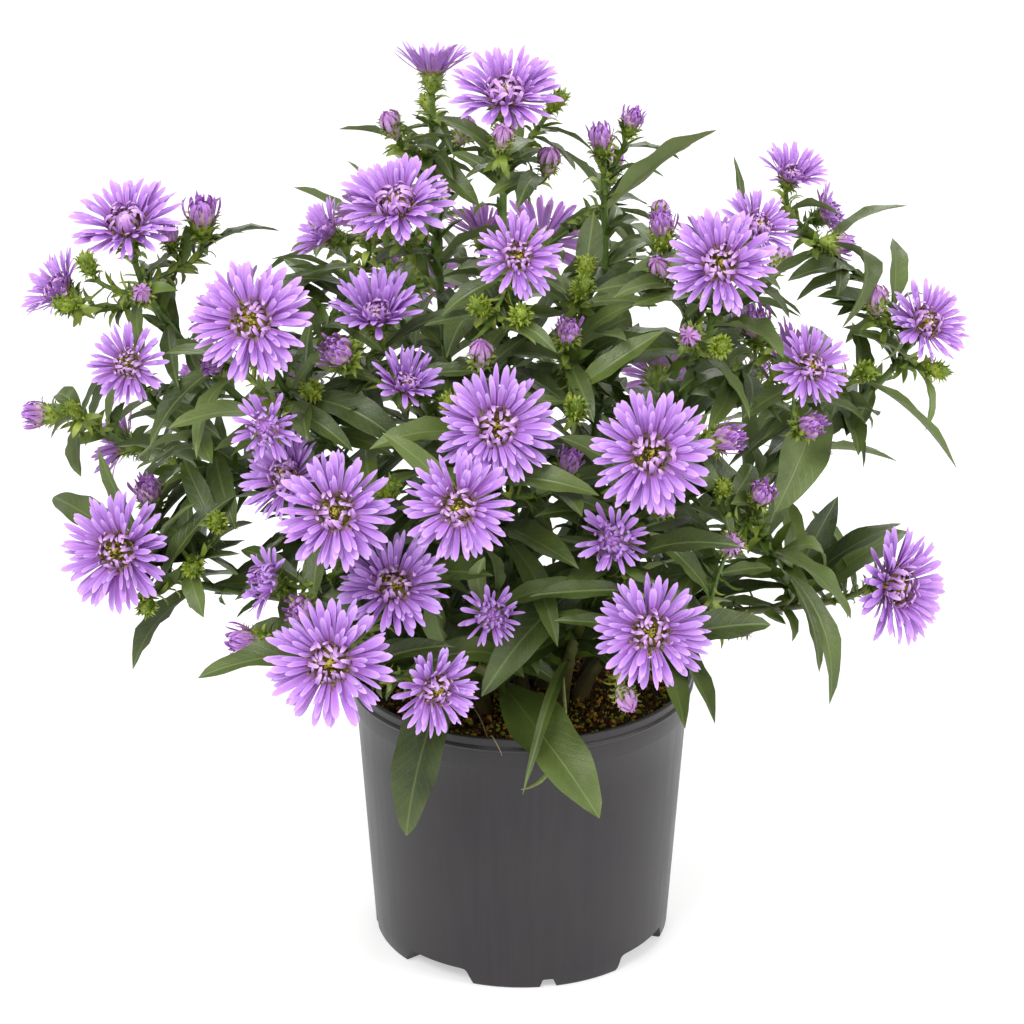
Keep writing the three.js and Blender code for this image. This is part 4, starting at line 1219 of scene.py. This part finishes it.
def curled_bloom_meshes(size, stand, seed):
    """A small flower that is half open: a few ray petals round a dome of curled ones."""
    reach = CURLED_REACH / math.cos(math.radians(stand))
    return [lathed(CORE, CORE_SIDES, OPENING_PETAL, size)] + whorls(
        size, seed,
        (RAYS, RAY_PETAL, CURLED_RAYS,
         (0.27, 0.2), (stand + 16, stand - 10), (reach * 0.8, reach), (0.05, 0.0), (14, 12, 0.25), 30),
        (QUILLS, RAY_PETAL, CURLED_QUILLS,
         (0.28, 0.4), (80, 44), (0.42, 0.6), (0.16, 0.04), (18, 14, 0.3), 45),
        (QUILLS, OPENING_PETAL, CURLED_QUILLS,
         (0.06, 0.32), (102, 80), (0.34, 0.42), (0.2, 0.1), (14, 12, 0.25), 40, 0.6),
    )


def bloom_meshes(head, seed):
    """Three rows of ray petals, the small curled petals inside them, and the disc."""
    size, stand = head["radius"], head["stand"]
    if size < CURLED_BELOW and stand < CURLED_STAND:
        return curled_bloom_meshes(size, stand, seed)
    rays = max(FEWEST_RAYS, round(RAYS_PER_MILLIMETRE * size))
    reach = RAY_REACH / math.cos(math.radians(stand))
    full = max(min(1, stand / FULL_STAND), np.interp(head["axis"][2], FULL_FACING, (0, 1)))
    return [lathed(CORE, CORE_SIDES, DISC, size)] + whorls(
        size, seed,
        (RAYS, RAY_PETAL, rays,
         (0.26, 0.22), (stand + 5, stand - 7), (reach * 0.98, reach), (0.03, 0.0), (9, 7, 0.14)),
        (RAYS, RAY_PETAL, round(rays * 0.85),
         (0.28, 0.24), (stand + 22, stand + 8), (reach * 0.78, reach * 0.94), (0.06, 0.04), (10, 8, 0.2)),
        (RAYS, RAY_PETAL, round(rays * (0.55 + 0.4 * full)),
         (0.28, 0.25), (stand + 44, stand + 24), (0.42, 0.68), (0.09, 0.07), (12, 10, 0.28), 24),
        (QUILLS, QUILL_PETAL, round(30 + 6 * full),
         (0.18, 0.31), (90, 60), (0.22 + 0.16 * full, 0.33 + 0.2 * full), (0.07, 0.04), (18, 14, 0.4), 50),
        (FLORETS, DISC_FLORET, 26, (0.02, 0.17), (90, 66), (0.17, 0.16), (0.12, 0.06), (16, 9, 0.3), 30),
        (FLORETS, FLORET, 34, (0.27, 0.33), (86, 56), (0.12, 0.19), (0.05, 0.05), (20, 12, 0.4), 30),
    )


def cup_meshes(head, seed):
    """The green cup of a flower, with pointed bracts that spread from it."""
    size = head["radius"]
    return [lathed(CUP, CUP_SIDES, BRACT, size)] + whorls(
        size, seed,
        (SCALES, BRACT, 42, (0.27, 0.11), (58, 15), (0.3, 0.34), (-0.08, -0.46), (16, 8, 0.25), 20),
    )


def opening_meshes(head, seed):
    """A flower that is just opening: a brush of petals in a cup of bracts."""
    size = head["radius"]
    bodies = [
        lathed(OPENING_CUP, CUP_SIDES, BRACT, size),
        lathed(OPENING_CORE, OPENING_SIDES, OPENING_PETAL, size),
    ]
    return bodies + whorls(
        size, seed,
        (BRUSH, OPENING_PETAL, 46,
         (0.12, 0.5), (92, 74), (0.95, 1.25), (0.45, 0.05), (7, 8, 0.2), 20, 0.15),
        (SCALES, BRACT, 38, (0.54, 0.24), (76, 20), (0.85, 0.75), (0.05, -0.82), (14, 8, 0.25), 20),
    )


def bud_meshes(head, seed):
    """A bud: a cone of folded petals in its cup, or a green ball when it is young."""
    size = head["radius"] * BUD_FULLER
    if head["radius"] < YOUNG_BUD:
        skin, green, top = YOUNG_GREEN, YOUNG_GREEN, 0.3
        tips = (SCALES, YOUNG_GREEN, 24, (0.1, 0.5), (98, 84), (0.6, 0.9), (0.75, 0.2))
    else:
        skin, green, top = BUD_PETAL, BRACT, 0.05
        tips = (BUD_PETALS, BUD_PETAL, 22, (0.2, 0.56), (100, 84), (0.9, 1.4), (0.6, -0.1))
    return [lathed(BUD_BODY, CUP_SIDES, skin, size)] + whorls(
        size, seed,
        (SCALES, green, 46, (0.6, 0.24), (80, 25), (1.05, 0.85), (top, -1.0), (12, 8, 0.2), 20),
        (*tips, (8, 6, 0.12), 10),
    )


def placed_head(maker, head, seed):
    """A head's meshes, moved from their own frame, whose Z is the head's axis, to where it stands."""
    attitude = Vector(Z).rotation_difference(Vector(head["axis"])).to_matrix().to_4x4()
    move = Matrix.Translation(Vector(head["place"])) @ attitude @ Matrix.Rotation(seed, 4, "Z")
    meshes = maker(head, seed)
    for mesh in meshes:
        mesh.transform(move)
    return meshes


# What a stem carries for each head. Open flowers are pieces of their own, and the stem has their cups.
HEAD_MAKERS = {"bloom": cup_meshes, "opening": opening_meshes, "bud": bud_meshes}


# Stems and leaves

SEEDS_A_STEM = 50
STEM_PLACES = 22
TWIG_PLACES = 12
STEM_SIDES = 10
TWIG_SIDES = 8
FORK_FLARE = 1.5
FLARE_LONG = 0.125
LENGTH_STEPS = 40
SPRIG_LONG = 26
SPRIG_STEPS = 8
SPRIG_LOWEST = 0.1
SPRIG_SPLIT_LOWEST = 0.15
HEAD_CLEAR = 2
SPRIGS = ((True, 1.15, 4.5, 10.5, BRACT), (False, 5.0, 9.0, 18.0, LITTLE_LEAF))

LEAF_HALVES = (
    (0, 0.2), (0.06, 0.28), (0.2, 0.68), (0.35, 0.94), (0.5, 1), (0.66, 0.92), (0.8, 0.7), (0.9, 0.42),
    (0.96, 0.2), (1, 0.01),
)
BROAD_HALVES = (
    (0, 0.2), (0.06, 0.27), (0.14, 0.46), (0.24, 0.72), (0.35, 0.91), (0.47, 1), (0.6, 0.98), (0.72, 0.87),
    (0.82, 0.7), (0.9, 0.5), (0.95, 0.34), (0.98, 0.2), (1, 0.03),
)
SLIM_LEAF = (LEAF_HALVES, blade_grid(11, 5))
BROAD_LEAF = (BROAD_HALVES, blade_grid(19, 7))
BROAD_FROM = 11
LEAF_FULLER = 1.12
LEAF_OUTWARD = 0.6
LEAF_TWIST = math.radians(40)
LEAF_SWAY = 0.12
LEAF_SUNK = 0.12
LEAF_CRINKLE = 0.14
LEAF_CRINKLE_SLANT = 2

# What strays from leaf to leaf: the least, and how much more it can be.
LEAF_WAVES = (14, 8)
LEAF_WAVE_STARTS = (0, 7)
LEAF_TROUGH = (0.3, 0.25)
FILL_LENGTHS = (0.75, 0.4)
FILL_RISES = (-30, 85)
FILL_WIDTHS = (0.17, 0.07)
FILL_ARCHES = (0.06, 0.1)

# The leaves between those of the solids stay in an egg round the middle of the plant.
FILL_SPACING = 6.5
FILL_STRETCH = (0.12, 0.8)
FILL_LONGEST = 46
FILL_SHORTEST = 22
FILL_TRIES = 9
FILL_TOP = 318
FILL_MIDDLE = vector(-8, 8, 205)
FILL_REACH = vector(142, 116, 106)
FILL_CHECKED = (0.25, 0.45, 0.65, 0.85, 1.0)

# The room round a flower that leaves keep free, in shares of its radius.
FLOWER_ROOM = 1.02
FLOWER_UNDER = 0.35
FLOWER_OVER = 2.5
FLOWER_SEEN = 0.85
SEEN_FROM = vector(0, -0.93, 0.37)


def lines_mesh(lines, thick=None):
    """Lines of points as a mesh, with the thickness at each point, for a node tree to build along."""
    made = bpy.data.meshes.new("lines")
    ends = set(np.cumsum([len(line) for line in lines]))
    edges = [(k - 1, k) for k in range(1, max(ends)) if k not in ends]
    made.from_pydata(np.concatenate(lines), edges, [])
    if thick is not None:
        made.attributes.new("thick", "FLOAT", "POINT").data.foreach_set("value", thick)
    return made


def branches_mesh(branches, places, sides):
    """Round branches, a little flared where they fork. Stems begin down in the soil."""
    lines, thick = [], []
    for branch in branches:
        shares = [k / places for k in range(places + 1)]
        line = [branch.curve.at(share) for share in shares]
        if branch.thick == STEM_RADIUS:
            line.insert(0, line[0] - Z * ROOT_DEPTH)
            thick.append(branch.thick)
        for share in shares:
            flare = 1 + (FORK_FLARE - 1) * max(0, 1 - share / FLARE_LONG)
            thick.append((branch.thick + (branch.thin - branch.thick) * share) * flare)
        lines.append(line)
    return shaped(TUBE_TREE, lines_mesh(lines, thick), Sides=sides, Finish=STEM)


def sprig_lines(branches, near_head):
    """The lines that little leaves stand on: the last stretch under each flower, or what is below it."""
    lines = []
    for branch in branches:
        long = branch.curve.length(LENGTH_STEPS)
        split = max(SPRIG_SPLIT_LOWEST, 1 - SPRIG_LONG / long)
        low, high = (split, 1 - HEAD_CLEAR / long) if near_head else (SPRIG_LOWEST, split)
        steps = range(SPRIG_STEPS + 1)
        lines.append([branch.curve.at(low + (high - low) * k / SPRIG_STEPS) for k in steps])
    return lines_mesh(lines)


def drawn(chances, least, more):
    return least + more * chances.random()


def leaf_points(leaf, marks, halves, chances):
    """The points of one leaf, and their marks: millimetres along and across it, and its side."""
    marks = marks.copy()
    share, across, side = marks.T
    root, tip = leaf["root"]["place"], leaf["tip"]
    chord = tip - root
    long = np.linalg.norm(chord)
    along = chord / long
    middle = (root + tip) / 2
    above = Z + unit(middle * (1, 1, 0)) * LEAF_OUTWARD
    above = unit(above - along * along.dot(above))
    beside = np.cross(above, along)
    rib = np.outer((1 - share) ** 2, root) + np.outer(share ** 2, tip)
    rib += np.outer(2 * share * (1 - share), middle + above * leaf["arch"] * 2)
    half = np.interp(share, *zip(*halves)) * leaf["width"] / 2 * LEAF_FULLER
    twist = LEAF_TWIST * (chances.random() - 0.5) * share
    wave = share * drawn(chances, *LEAF_WAVES) + across * LEAF_CRINKLE_SLANT
    wave = np.sin(wave + drawn(chances, *LEAF_WAVE_STARTS))
    sway = (chances.random() - 0.5) * LEAF_SWAY * long * np.sin(share * math.pi)
    trough = drawn(chances, *LEAF_TROUGH)
    lift = half * (trough * np.abs(across) - LEAF_SUNK) + wave * across ** 2 * half * LEAF_CRINKLE
    lift += side * (LEAF_THICKNESS / 2) * (1.3 - np.abs(across))
    out = half * across
    points = rib + np.outer(out * np.cos(twist) - lift * np.sin(twist) + sway, beside)
    points += np.outer(out * np.sin(twist) + lift * np.cos(twist), above)
    marks[:, 0] *= long
    marks[:, 1] *= half
    return points, marks


def leaves_mesh(leaves, chances):
    """All leaves of one stem, with their upper and lower skins."""
    points, marks, shades, faces, slots = [], [], [], [], []
    first = 0
    for leaf in leaves:
        halves, (grid, upper, lower) = BROAD_LEAF if leaf["width"] > BROAD_FROM else SLIM_LEAF
        leaf_place, leaf_marks = leaf_points(leaf, grid, halves, chances)
        points.append(leaf_place)
        marks.append(leaf_marks)
        shades.append(np.full(len(grid), chances.random()))
        faces += [[first + corner for corner in face] for face in upper + lower]
        slots += [0] * len(upper) + [1] * len(lower)
        first += len(grid)
    points, marks, shades = (np.concatenate(rows) for rows in (points, marks, shades))
    made = mesh_from("leaves", points, faces, (LEAF, LEAF_BACK), marks, shades, slots)
    made.set_sharp_from_angle(angle=THIN_EDGE)
    return made


def along_and_beside(reach, way):
    """How far each point lies along a line, and how far beside it."""
    along = reach @ way
    return along, np.linalg.norm(reach - np.outer(along, way), axis=1)


def hides_flower(points, heads):
    """Whether any of the points lies in or over a flower, or before it in the photograph's view."""
    for head in heads:
        reach = points - head["place"]
        size = head["radius"]
        height, beside = along_and_beside(reach, head["axis"])
        nearer, aside = along_and_beside(reach, SEEN_FROM)
        level = (height > -FLOWER_UNDER * size) & (height < FLOWER_OVER * size)
        seen = (aside < size * FLOWER_SEEN) & (nearer > 0)
        if np.any((level & (beside < size * FLOWER_ROOM)) | seen):
            return True
    return False


def tried_leaf(place, low, heads, chances):
    """A leaf of random length and direction, or nothing where it would hide a flower."""
    long = FILL_SHORTEST + (FILL_LONGEST - FILL_SHORTEST) * low
    long *= drawn(chances, *FILL_LENGTHS)
    turn = 2 * math.pi * chances.random()
    rise = math.radians(drawn(chances, *FILL_RISES))
    tip = place + pointing(turn, rise) * long
    line = place + np.outer(FILL_CHECKED, tip - place)
    outward = np.linalg.norm((tip - FILL_MIDDLE) / FILL_REACH)
    if outward >= 1 or hides_flower(line + Z * long * 0.1, heads):
        return None
    width = long * drawn(chances, *FILL_WIDTHS)
    return {"root": {"place": place}, "tip": tip, "width": width, "arch": long * drawn(chances, *FILL_ARCHES)}


def fill_leaves(stem, heads, chances):
    """More leaves of middling size on every stem and twig, where they hide no flower."""
    leaves = []
    for branch in stem["branches"]:
        count = round(branch.curve.length(LENGTH_STEPS) / FILL_SPACING)
        first, stretch = FILL_STRETCH
        for k in range(count):
            place = branch.curve.at(first + stretch * (k + chances.random()) / count)
            low = min(1, max(0, (FILL_TOP - place[2]) / (FILL_TOP - SOIL_EDGE)))
            for _ in range(FILL_TRIES):
                leaf = tried_leaf(place, low, heads, chances)
                if leaf:
                    leaves.append(leaf)
                    break
    return leaves


def stem_piece(stem, leaves, heads, seed):
    """One stem with its twigs, leaves, cups, opening flowers and buds."""
    chances = np.random.default_rng(seed)
    main, twigs = stem["branches"][:1], stem["branches"][1:]
    meshes = [branches_mesh(main, STEM_PLACES, STEM_SIDES)]
    if twigs:
        meshes.append(branches_mesh(twigs, TWIG_PLACES, TWIG_SIDES))
    own = [leaf for leaf in leaves if leaf["root"]["node"] == stem["node"]]
    meshes.append(leaves_mesh(own + fill_leaves(stem, heads, chances), chances))
    for near_head, spacing, smallest, largest, finish in SPRIGS:
        meshes.append(shaped(
            SPRIG_TREE, sprig_lines(stem["branches"], near_head), Parts=LITTLE_LEAVES, Spacing=spacing,
            Smallest=smallest, Largest=largest, Seed=seed, Finish=finish,
        ))
    for k, head in enumerate(stem["heads"]):
        meshes += placed_head(HEAD_MAKERS[head["kind"]], head, seed * SEEDS_A_STEM + k)
    piece_of(f"fine_{stem['node']}", meshes, "leafy_stem", stem["node"])


# Pot and soil

WALL_RINGS = (7.6, 8.4, 10, 20, 40, 60, 80)
NOTCHES = (
    (POCKET_TURN, POCKET_HALF_ANGLE, POCKET_SLOPE, POCKET_INNER, POCKET_HEIGHT),
    (SLOT_TURN, SLOT_HALF_ANGLE, SLOT_SLOPE, SLOT_INNER, SLOT_HEIGHT),
)
BLOCK_STEPS = 13
DRAIN_SIDES = 24
DRAIN_CUT = ((DRAIN_RADIUS, -6), (DRAIN_RADIUS, 6))
POT_CREASE = math.radians(32)
SOIL_ROUGHNESS = 0.45
GROUND_TURNS = 48
GROUND_RINGS = 10
GROUND_MIDDLE = 4
CRUMB_KINDS = 5
CRUMB_SIDES = 5
CRUMB_LEVELS = (-0.4, 0, 0.4)
CRUMB_FLAT = 0.7
SMALLEST_CRUMB = 0.6
CRUMB_MIX = ((CRUMB_DARK, 0.13, 4.0), (CRUMB_OCHRE, 0.12, 3.4), (CRUMB_MOSS, 0.13, 3.2))

# A root hair that hangs over the rim, and the dry end of a leaf: points, and how thick each is.
STRAND_STEPS = 8
STRAND_SOFTENED = 5
STRAND_SIDES = 6
ROOT_HAIR = (
    (-19.7, -15, 99.8), (-17, -26, 100.2), (-14.7, -35, 99.9), (-12.4, -52, 101.5), (-11.2, -62, 107.6),
    (-10.4, -64.4, 108.1), (-9, -66.2, 106), (-8, -66.6, 104.2), (-7.2, -66.8, 101.8),
)
ROOT_HAIR_THICK = (0.25, 0.22, 0.2, 0.2, 0.18, 0.18, 0.15, 0.12, 0.06)
DRY_LEAF_LINE = (
    (15, -46, 123), (15, -52, 121), (15.3, -62, 116), (14.1, -67.8, 110.4), (12.7, -69, 103.7), (10, -70, 98),
    (6.3, -71, 93.6), (2.5, -71.6, 91.6), (-0.5, -72, 91),
)
DRY_LEAF_THICK = (0.3, 0.5, 0.8, 1.0, 1.0, 0.95, 0.8, 0.5, 0.1)


def around_pot(turns, radius, height):
    """Points round the pot at the given turns in degrees from the front."""
    angle = np.radians(np.array(turns, float) - 90)
    places = np.cos(angle) * radius, np.sin(angle) * radius, np.full(angle.shape, float(height))
    return np.stack(places, axis=1)


def wall_radius(height):
    return POT_BASE_RADIUS + (WALL_TOP_RADIUS - POT_BASE_RADIUS) * height / RIM_BAND_BOTTOM


def foot_block(turn, levels, inner):
    """A block of the pot's foot, from a straight inner side to a round outer one, over its levels."""
    rings = []
    for half, outer, height in levels:
        round_side = around_pot(turn + half * np.linspace(-1, 1, BLOCK_STEPS), outer, height)
        ends = around_pot((turn + half, turn - half), inner, height)
        rings.append(np.concatenate((round_side, ends)))
    return skinned("block", rings, POT_PLASTIC)


def notch_levels(half, slope, height):
    """A notch's half angle up its height, with sloped ends and rounded upper corners."""
    corner = slope * 0.5
    return (
        (half + slope, POT_TOP_RADIUS, -1),
        (half, POT_TOP_RADIUS, height - 1.2),
        (half - corner * 0.4, POT_TOP_RADIUS, height - 0.5),
        (half - corner, POT_TOP_RADIUS, height - 0.12),
        (half - corner * 2, POT_TOP_RADIUS, height),
    )


def cut(whole, tools, operation):
    """A mesh joined with or cut by other meshes."""
    for tool in tools:
        target, other = stood(whole), stood(tool)
        modifier = target.modifiers.new("cut", "BOOLEAN")
        modifier.operation = operation
        modifier.solver = "EXACT"
        modifier.object = other
        whole = baked(target, modifier)
        bpy.data.objects.remove(other)
    return whole


def pot_shell():
    """The pot as it is turned, up its outside and down its inside, without the notches in its foot."""
    rim = POT_TOP_RADIUS - 0.4
    groove = POT_TOP_RADIUS - RIM_GROOVE_DEPTH
    step = WALL_TOP_RADIUS + RIM_STEP
    return lathed((
        (POT_BASE_RADIUS - 1, 0),
        (wall_radius(0.5) - 0.35, 0.35),
        (wall_radius(1.4), 1.4),
        *((wall_radius(height), height) for height in WALL_RINGS),
        (WALL_TOP_RADIUS, RIM_BAND_BOTTOM - 0.9),
        (WALL_TOP_RADIUS + 0.2, RIM_BAND_BOTTOM - 0.5),
        (step - 0.15, RIM_BAND_BOTTOM - 0.1),
        (step, RIM_BAND_BOTTOM + 0.4),
        (groove, RIM_RIDGE_HEIGHT - 1.1),
        (POT_TOP_RADIUS - 0.15, RIM_RIDGE_HEIGHT - 0.45),
        (POT_TOP_RADIUS, RIM_RIDGE_HEIGHT),
        (POT_TOP_RADIUS - 0.15, RIM_RIDGE_HEIGHT + 0.45),
        (groove, RIM_RIDGE_HEIGHT + 1.1),
        (rim, POT_HEIGHT - 0.9),
        (rim, POT_HEIGHT - 0.35),
        (rim - 0.25, POT_HEIGHT - 0.05),
        (rim - POT_WALL + 0.3, POT_HEIGHT),
        (rim - POT_WALL, POT_HEIGHT - 0.35),
        (WALL_TOP_RADIUS - POT_WALL, RIM_BAND_BOTTOM),
        (POT_BASE_RADIUS - POT_WALL, POT_WALL),
    ), POT_TURNS, POT_PLASTIC)


def drain_cut(turn):
    """What cuts the drain hole over a wide notch."""
    made = lathed(DRAIN_CUT, DRAIN_SIDES, POT_PLASTIC)
    made.transform(Matrix.Translation(Vector(around_pot((turn,), DRAIN_PLACE, POCKET_HEIGHT)[0])))
    return made


def pot_mesh():
    """The pot, with its foot notched and drained. A raised block closes each notch from inside."""
    blocks, cuts, drains = [], [], []
    for quarter in range(POCKET_COUNT):
        for kind, (turn, half, slope, inner, height) in enumerate(NOTCHES):
            turn += quarter * 360 / POCKET_COUNT
            blocks.append(foot_block(turn, (
                (half + 3, wall_radius(1) - POT_WALL / 2, 1),
                (half + 2, wall_radius(height) - POT_WALL / 2, height + POT_WALL),
            ), inner - POT_WALL))
            cuts.append(foot_block(turn, notch_levels(half, slope, height), inner))
            if kind == 0:
                drains.append(drain_cut(turn))
    whole = cut(cut(pot_shell(), blocks, "UNION"), cuts + drains, "DIFFERENCE")
    whole.set_sharp_from_angle(angle=POT_CREASE)
    return whole


def soil_height(x, y):
    outward = np.hypot(x, y) / POT_TOP_RADIUS
    return SOIL_EDGE + SOIL_RISE * (1 - outward) + 0.7 * np.sin(x * 0.31) * np.cos(y * 0.27)


def soil_ring(turns, radius, above):
    """Points round the pot on the soil, or so much above it."""
    ring = around_pot(turns, radius, 0)
    ring[:, 2] = soil_height(ring[:, 0], ring[:, 1]) + above
    return ring


def soil_mesh(chances):
    """The peat: a closed body whose top is rough."""
    bottom = POCKET_HEIGHT + POT_WALL + SOIL_GAP
    clear = POT_WALL + SOIL_GAP
    turns = np.linspace(0, 360, SOIL_TURNS, endpoint=False)
    edge = WALL_TOP_RADIUS - clear + 0.2
    rings = [
        around_pot(turns, wall_radius(bottom) - clear, bottom),
        around_pot(turns, WALL_TOP_RADIUS - clear, RIM_BAND_BOTTOM),
    ]
    for k in range(SOIL_RINGS):
        bumps = chances.normal(0, SOIL_ROUGHNESS, SOIL_TURNS)
        rings.append(soil_ring(turns, edge * (1 - k / SOIL_RINGS), bumps))
    return skinned("soil", rings, PEAT)


def ground_mesh():
    """The open top of the soil, where crumbs lie."""
    turns = np.linspace(0, 360, GROUND_TURNS, endpoint=False)
    radii = np.linspace(WALL_TOP_RADIUS - POT_WALL - 1.2, GROUND_MIDDLE, GROUND_RINGS)
    points = np.concatenate([soil_ring(turns, radius, 0.2) for radius in radii])
    return mesh_from("ground", points, ring_faces(GROUND_RINGS, GROUND_TURNS), (PEAT,))


def crumb(name, chances, long):
    """A flat lump about one long, whose corners stand in and out of a ball."""
    rings = []
    turns = np.arange(CRUMB_SIDES) * 360 / CRUMB_SIDES
    for level in CRUMB_LEVELS:
        ring = around_pot(turns, math.sqrt(0.25 - level ** 2), level)
        rings.append(ring * (1, 1 / long, CRUMB_FLAT) * (0.75 + 0.5 * chances.random((CRUMB_SIDES, 1))))
    return skinned(name, rings, PEAT)


def soil_meshes():
    """Peat with dark, ochre and mossy crumbs strewn over it."""
    chances = np.random.default_rng(SEED)
    crumbs = collection_of("crumbs", [
        crumb(f"crumb_{k}", chances, 1 + 0.25 * k) for k in range(CRUMB_KINDS)
    ])
    meshes = [soil_mesh(chances)]
    for k, (finish, density, largest) in enumerate(CRUMB_MIX):
        meshes.append(shaped(
            SCATTER_TREE, ground_mesh(), Parts=crumbs, Density=density, Smallest=SMALLEST_CRUMB,
            Largest=largest, Seed=k, Finish=finish,
        ))
    return meshes


def strand_mesh(points, thick, finish):
    """A limp strand through a few points, with a thickness for each."""
    places = range(len(points))
    shares = np.linspace(0, len(points) - 1, STRAND_STEPS * len(points))
    line = np.stack([np.interp(shares, places, row) for row in np.transpose(points)], axis=1)
    for _ in range(STRAND_SOFTENED):
        line[1:-1] = (line[:-2] + line[1:-1] * 2 + line[2:]) / 4
    made = lines_mesh([line], np.interp(shares, places, thick))
    return shaped(TUBE_TREE, made, Sides=STRAND_SIDES, Finish=finish)


# The whole plant, the stage and the camera

FIRST_BLOOM_SEED = 1000
BLOOM_SEEDS_A_STEM = 20
SEEDS_A_BLOOM = 5
SENSOR_WIDTH = 36
FLOOR_SIZE = 30
FLOOR_WHITE = (0.6, 0.6, 0.6, 1)
WHITE = (1, 1, 1, 1)
ROOM_LIGHT = 0.75
LAMPS = (
    ("main light", (-0.7, -1.0, 1.5), 0.9, 22),
    ("side light", (1.2, -0.6, 0.9), 0.7, 9),
    ("back light", (0.2, 1.1, 1.1), 0.8, 8),
)


def build_plant():
    """All stems and open flowers, with the seeds that their small parts stray by."""
    stems, leaves = grow_plant()
    heads = [head for stem in stems for head in stem["heads"]]
    for k, stem in enumerate(stems):
        stem_piece(stem, leaves, heads, k + 1)
        blooms = [head for head in stem["heads"] if head["kind"] == "bloom"]
        for n, head in enumerate(blooms):
            seed = FIRST_BLOOM_SEED + k * BLOOM_SEEDS_A_STEM + n * SEEDS_A_BLOOM
            meshes = placed_head(bloom_meshes, head, seed)
            piece_of(f"fine_{head['bloom']}", meshes, "bloom", head["bloom"])


def aimed(data, place):
    """A lamp or the camera, at its place and turned to the plant."""
    made = stood(data)
    made.location = place
    made.rotation_euler = (Vector(CAMERA_TARGET) - Vector(place)).to_track_quat("-Z", "Y").to_euler()
    return made


def set_stage():
    """White ground and soft light from all round, brighter from above and in front."""
    bpy.ops.mesh.primitive_plane_add(size=FLOOR_SIZE)
    floor = bpy.context.object
    floor.name = "white_ground"
    paper, _, shader = material("white paper", Roughness=0.9, Specular_IOR_Level=0.0, Emission_Strength=0.45)
    shader.inputs["Base Color"].default_value = FLOOR_WHITE
    shader.inputs["Emission Color"].default_value = WHITE
    floor.data.materials.append(paper)
    world = bpy.data.worlds.new("white room")
    world.use_nodes = True
    room = world.node_tree.nodes["Background"].inputs
    room["Color"].default_value = WHITE
    room["Strength"].default_value = ROOM_LIGHT
    bpy.context.scene.world = world
    for name, place, size, power in LAMPS:
        lamp = bpy.data.lights.new(name, "AREA")
        lamp.size = size
        lamp.energy = power
        aimed(lamp, place)


def set_camera():
    lens = bpy.data.cameras.new("photo view")
    lens.lens = CAMERA_LENS
    lens.sensor_width = SENSOR_WIDTH
    bpy.context.scene.camera = aimed(lens, CAMERA_PLACE)


piece_of("fine_pot", [pot_mesh()], "pot", "pot")
piece_of("fine_soil", soil_meshes(), "soil", "soil")
piece_of("root_hair", [strand_mesh(ROOT_HAIR, ROOT_HAIR_THICK, DRY_ROOT)], "soil")
piece_of("dry_leaf", [strand_mesh(DRY_LEAF_LINE, DRY_LEAF_THICK, DRY_LEAF)], "leafy_stem")
build_plant()
set_stage()
set_camera()
bpy.context.scene.view_settings.view_transform = "Standard"
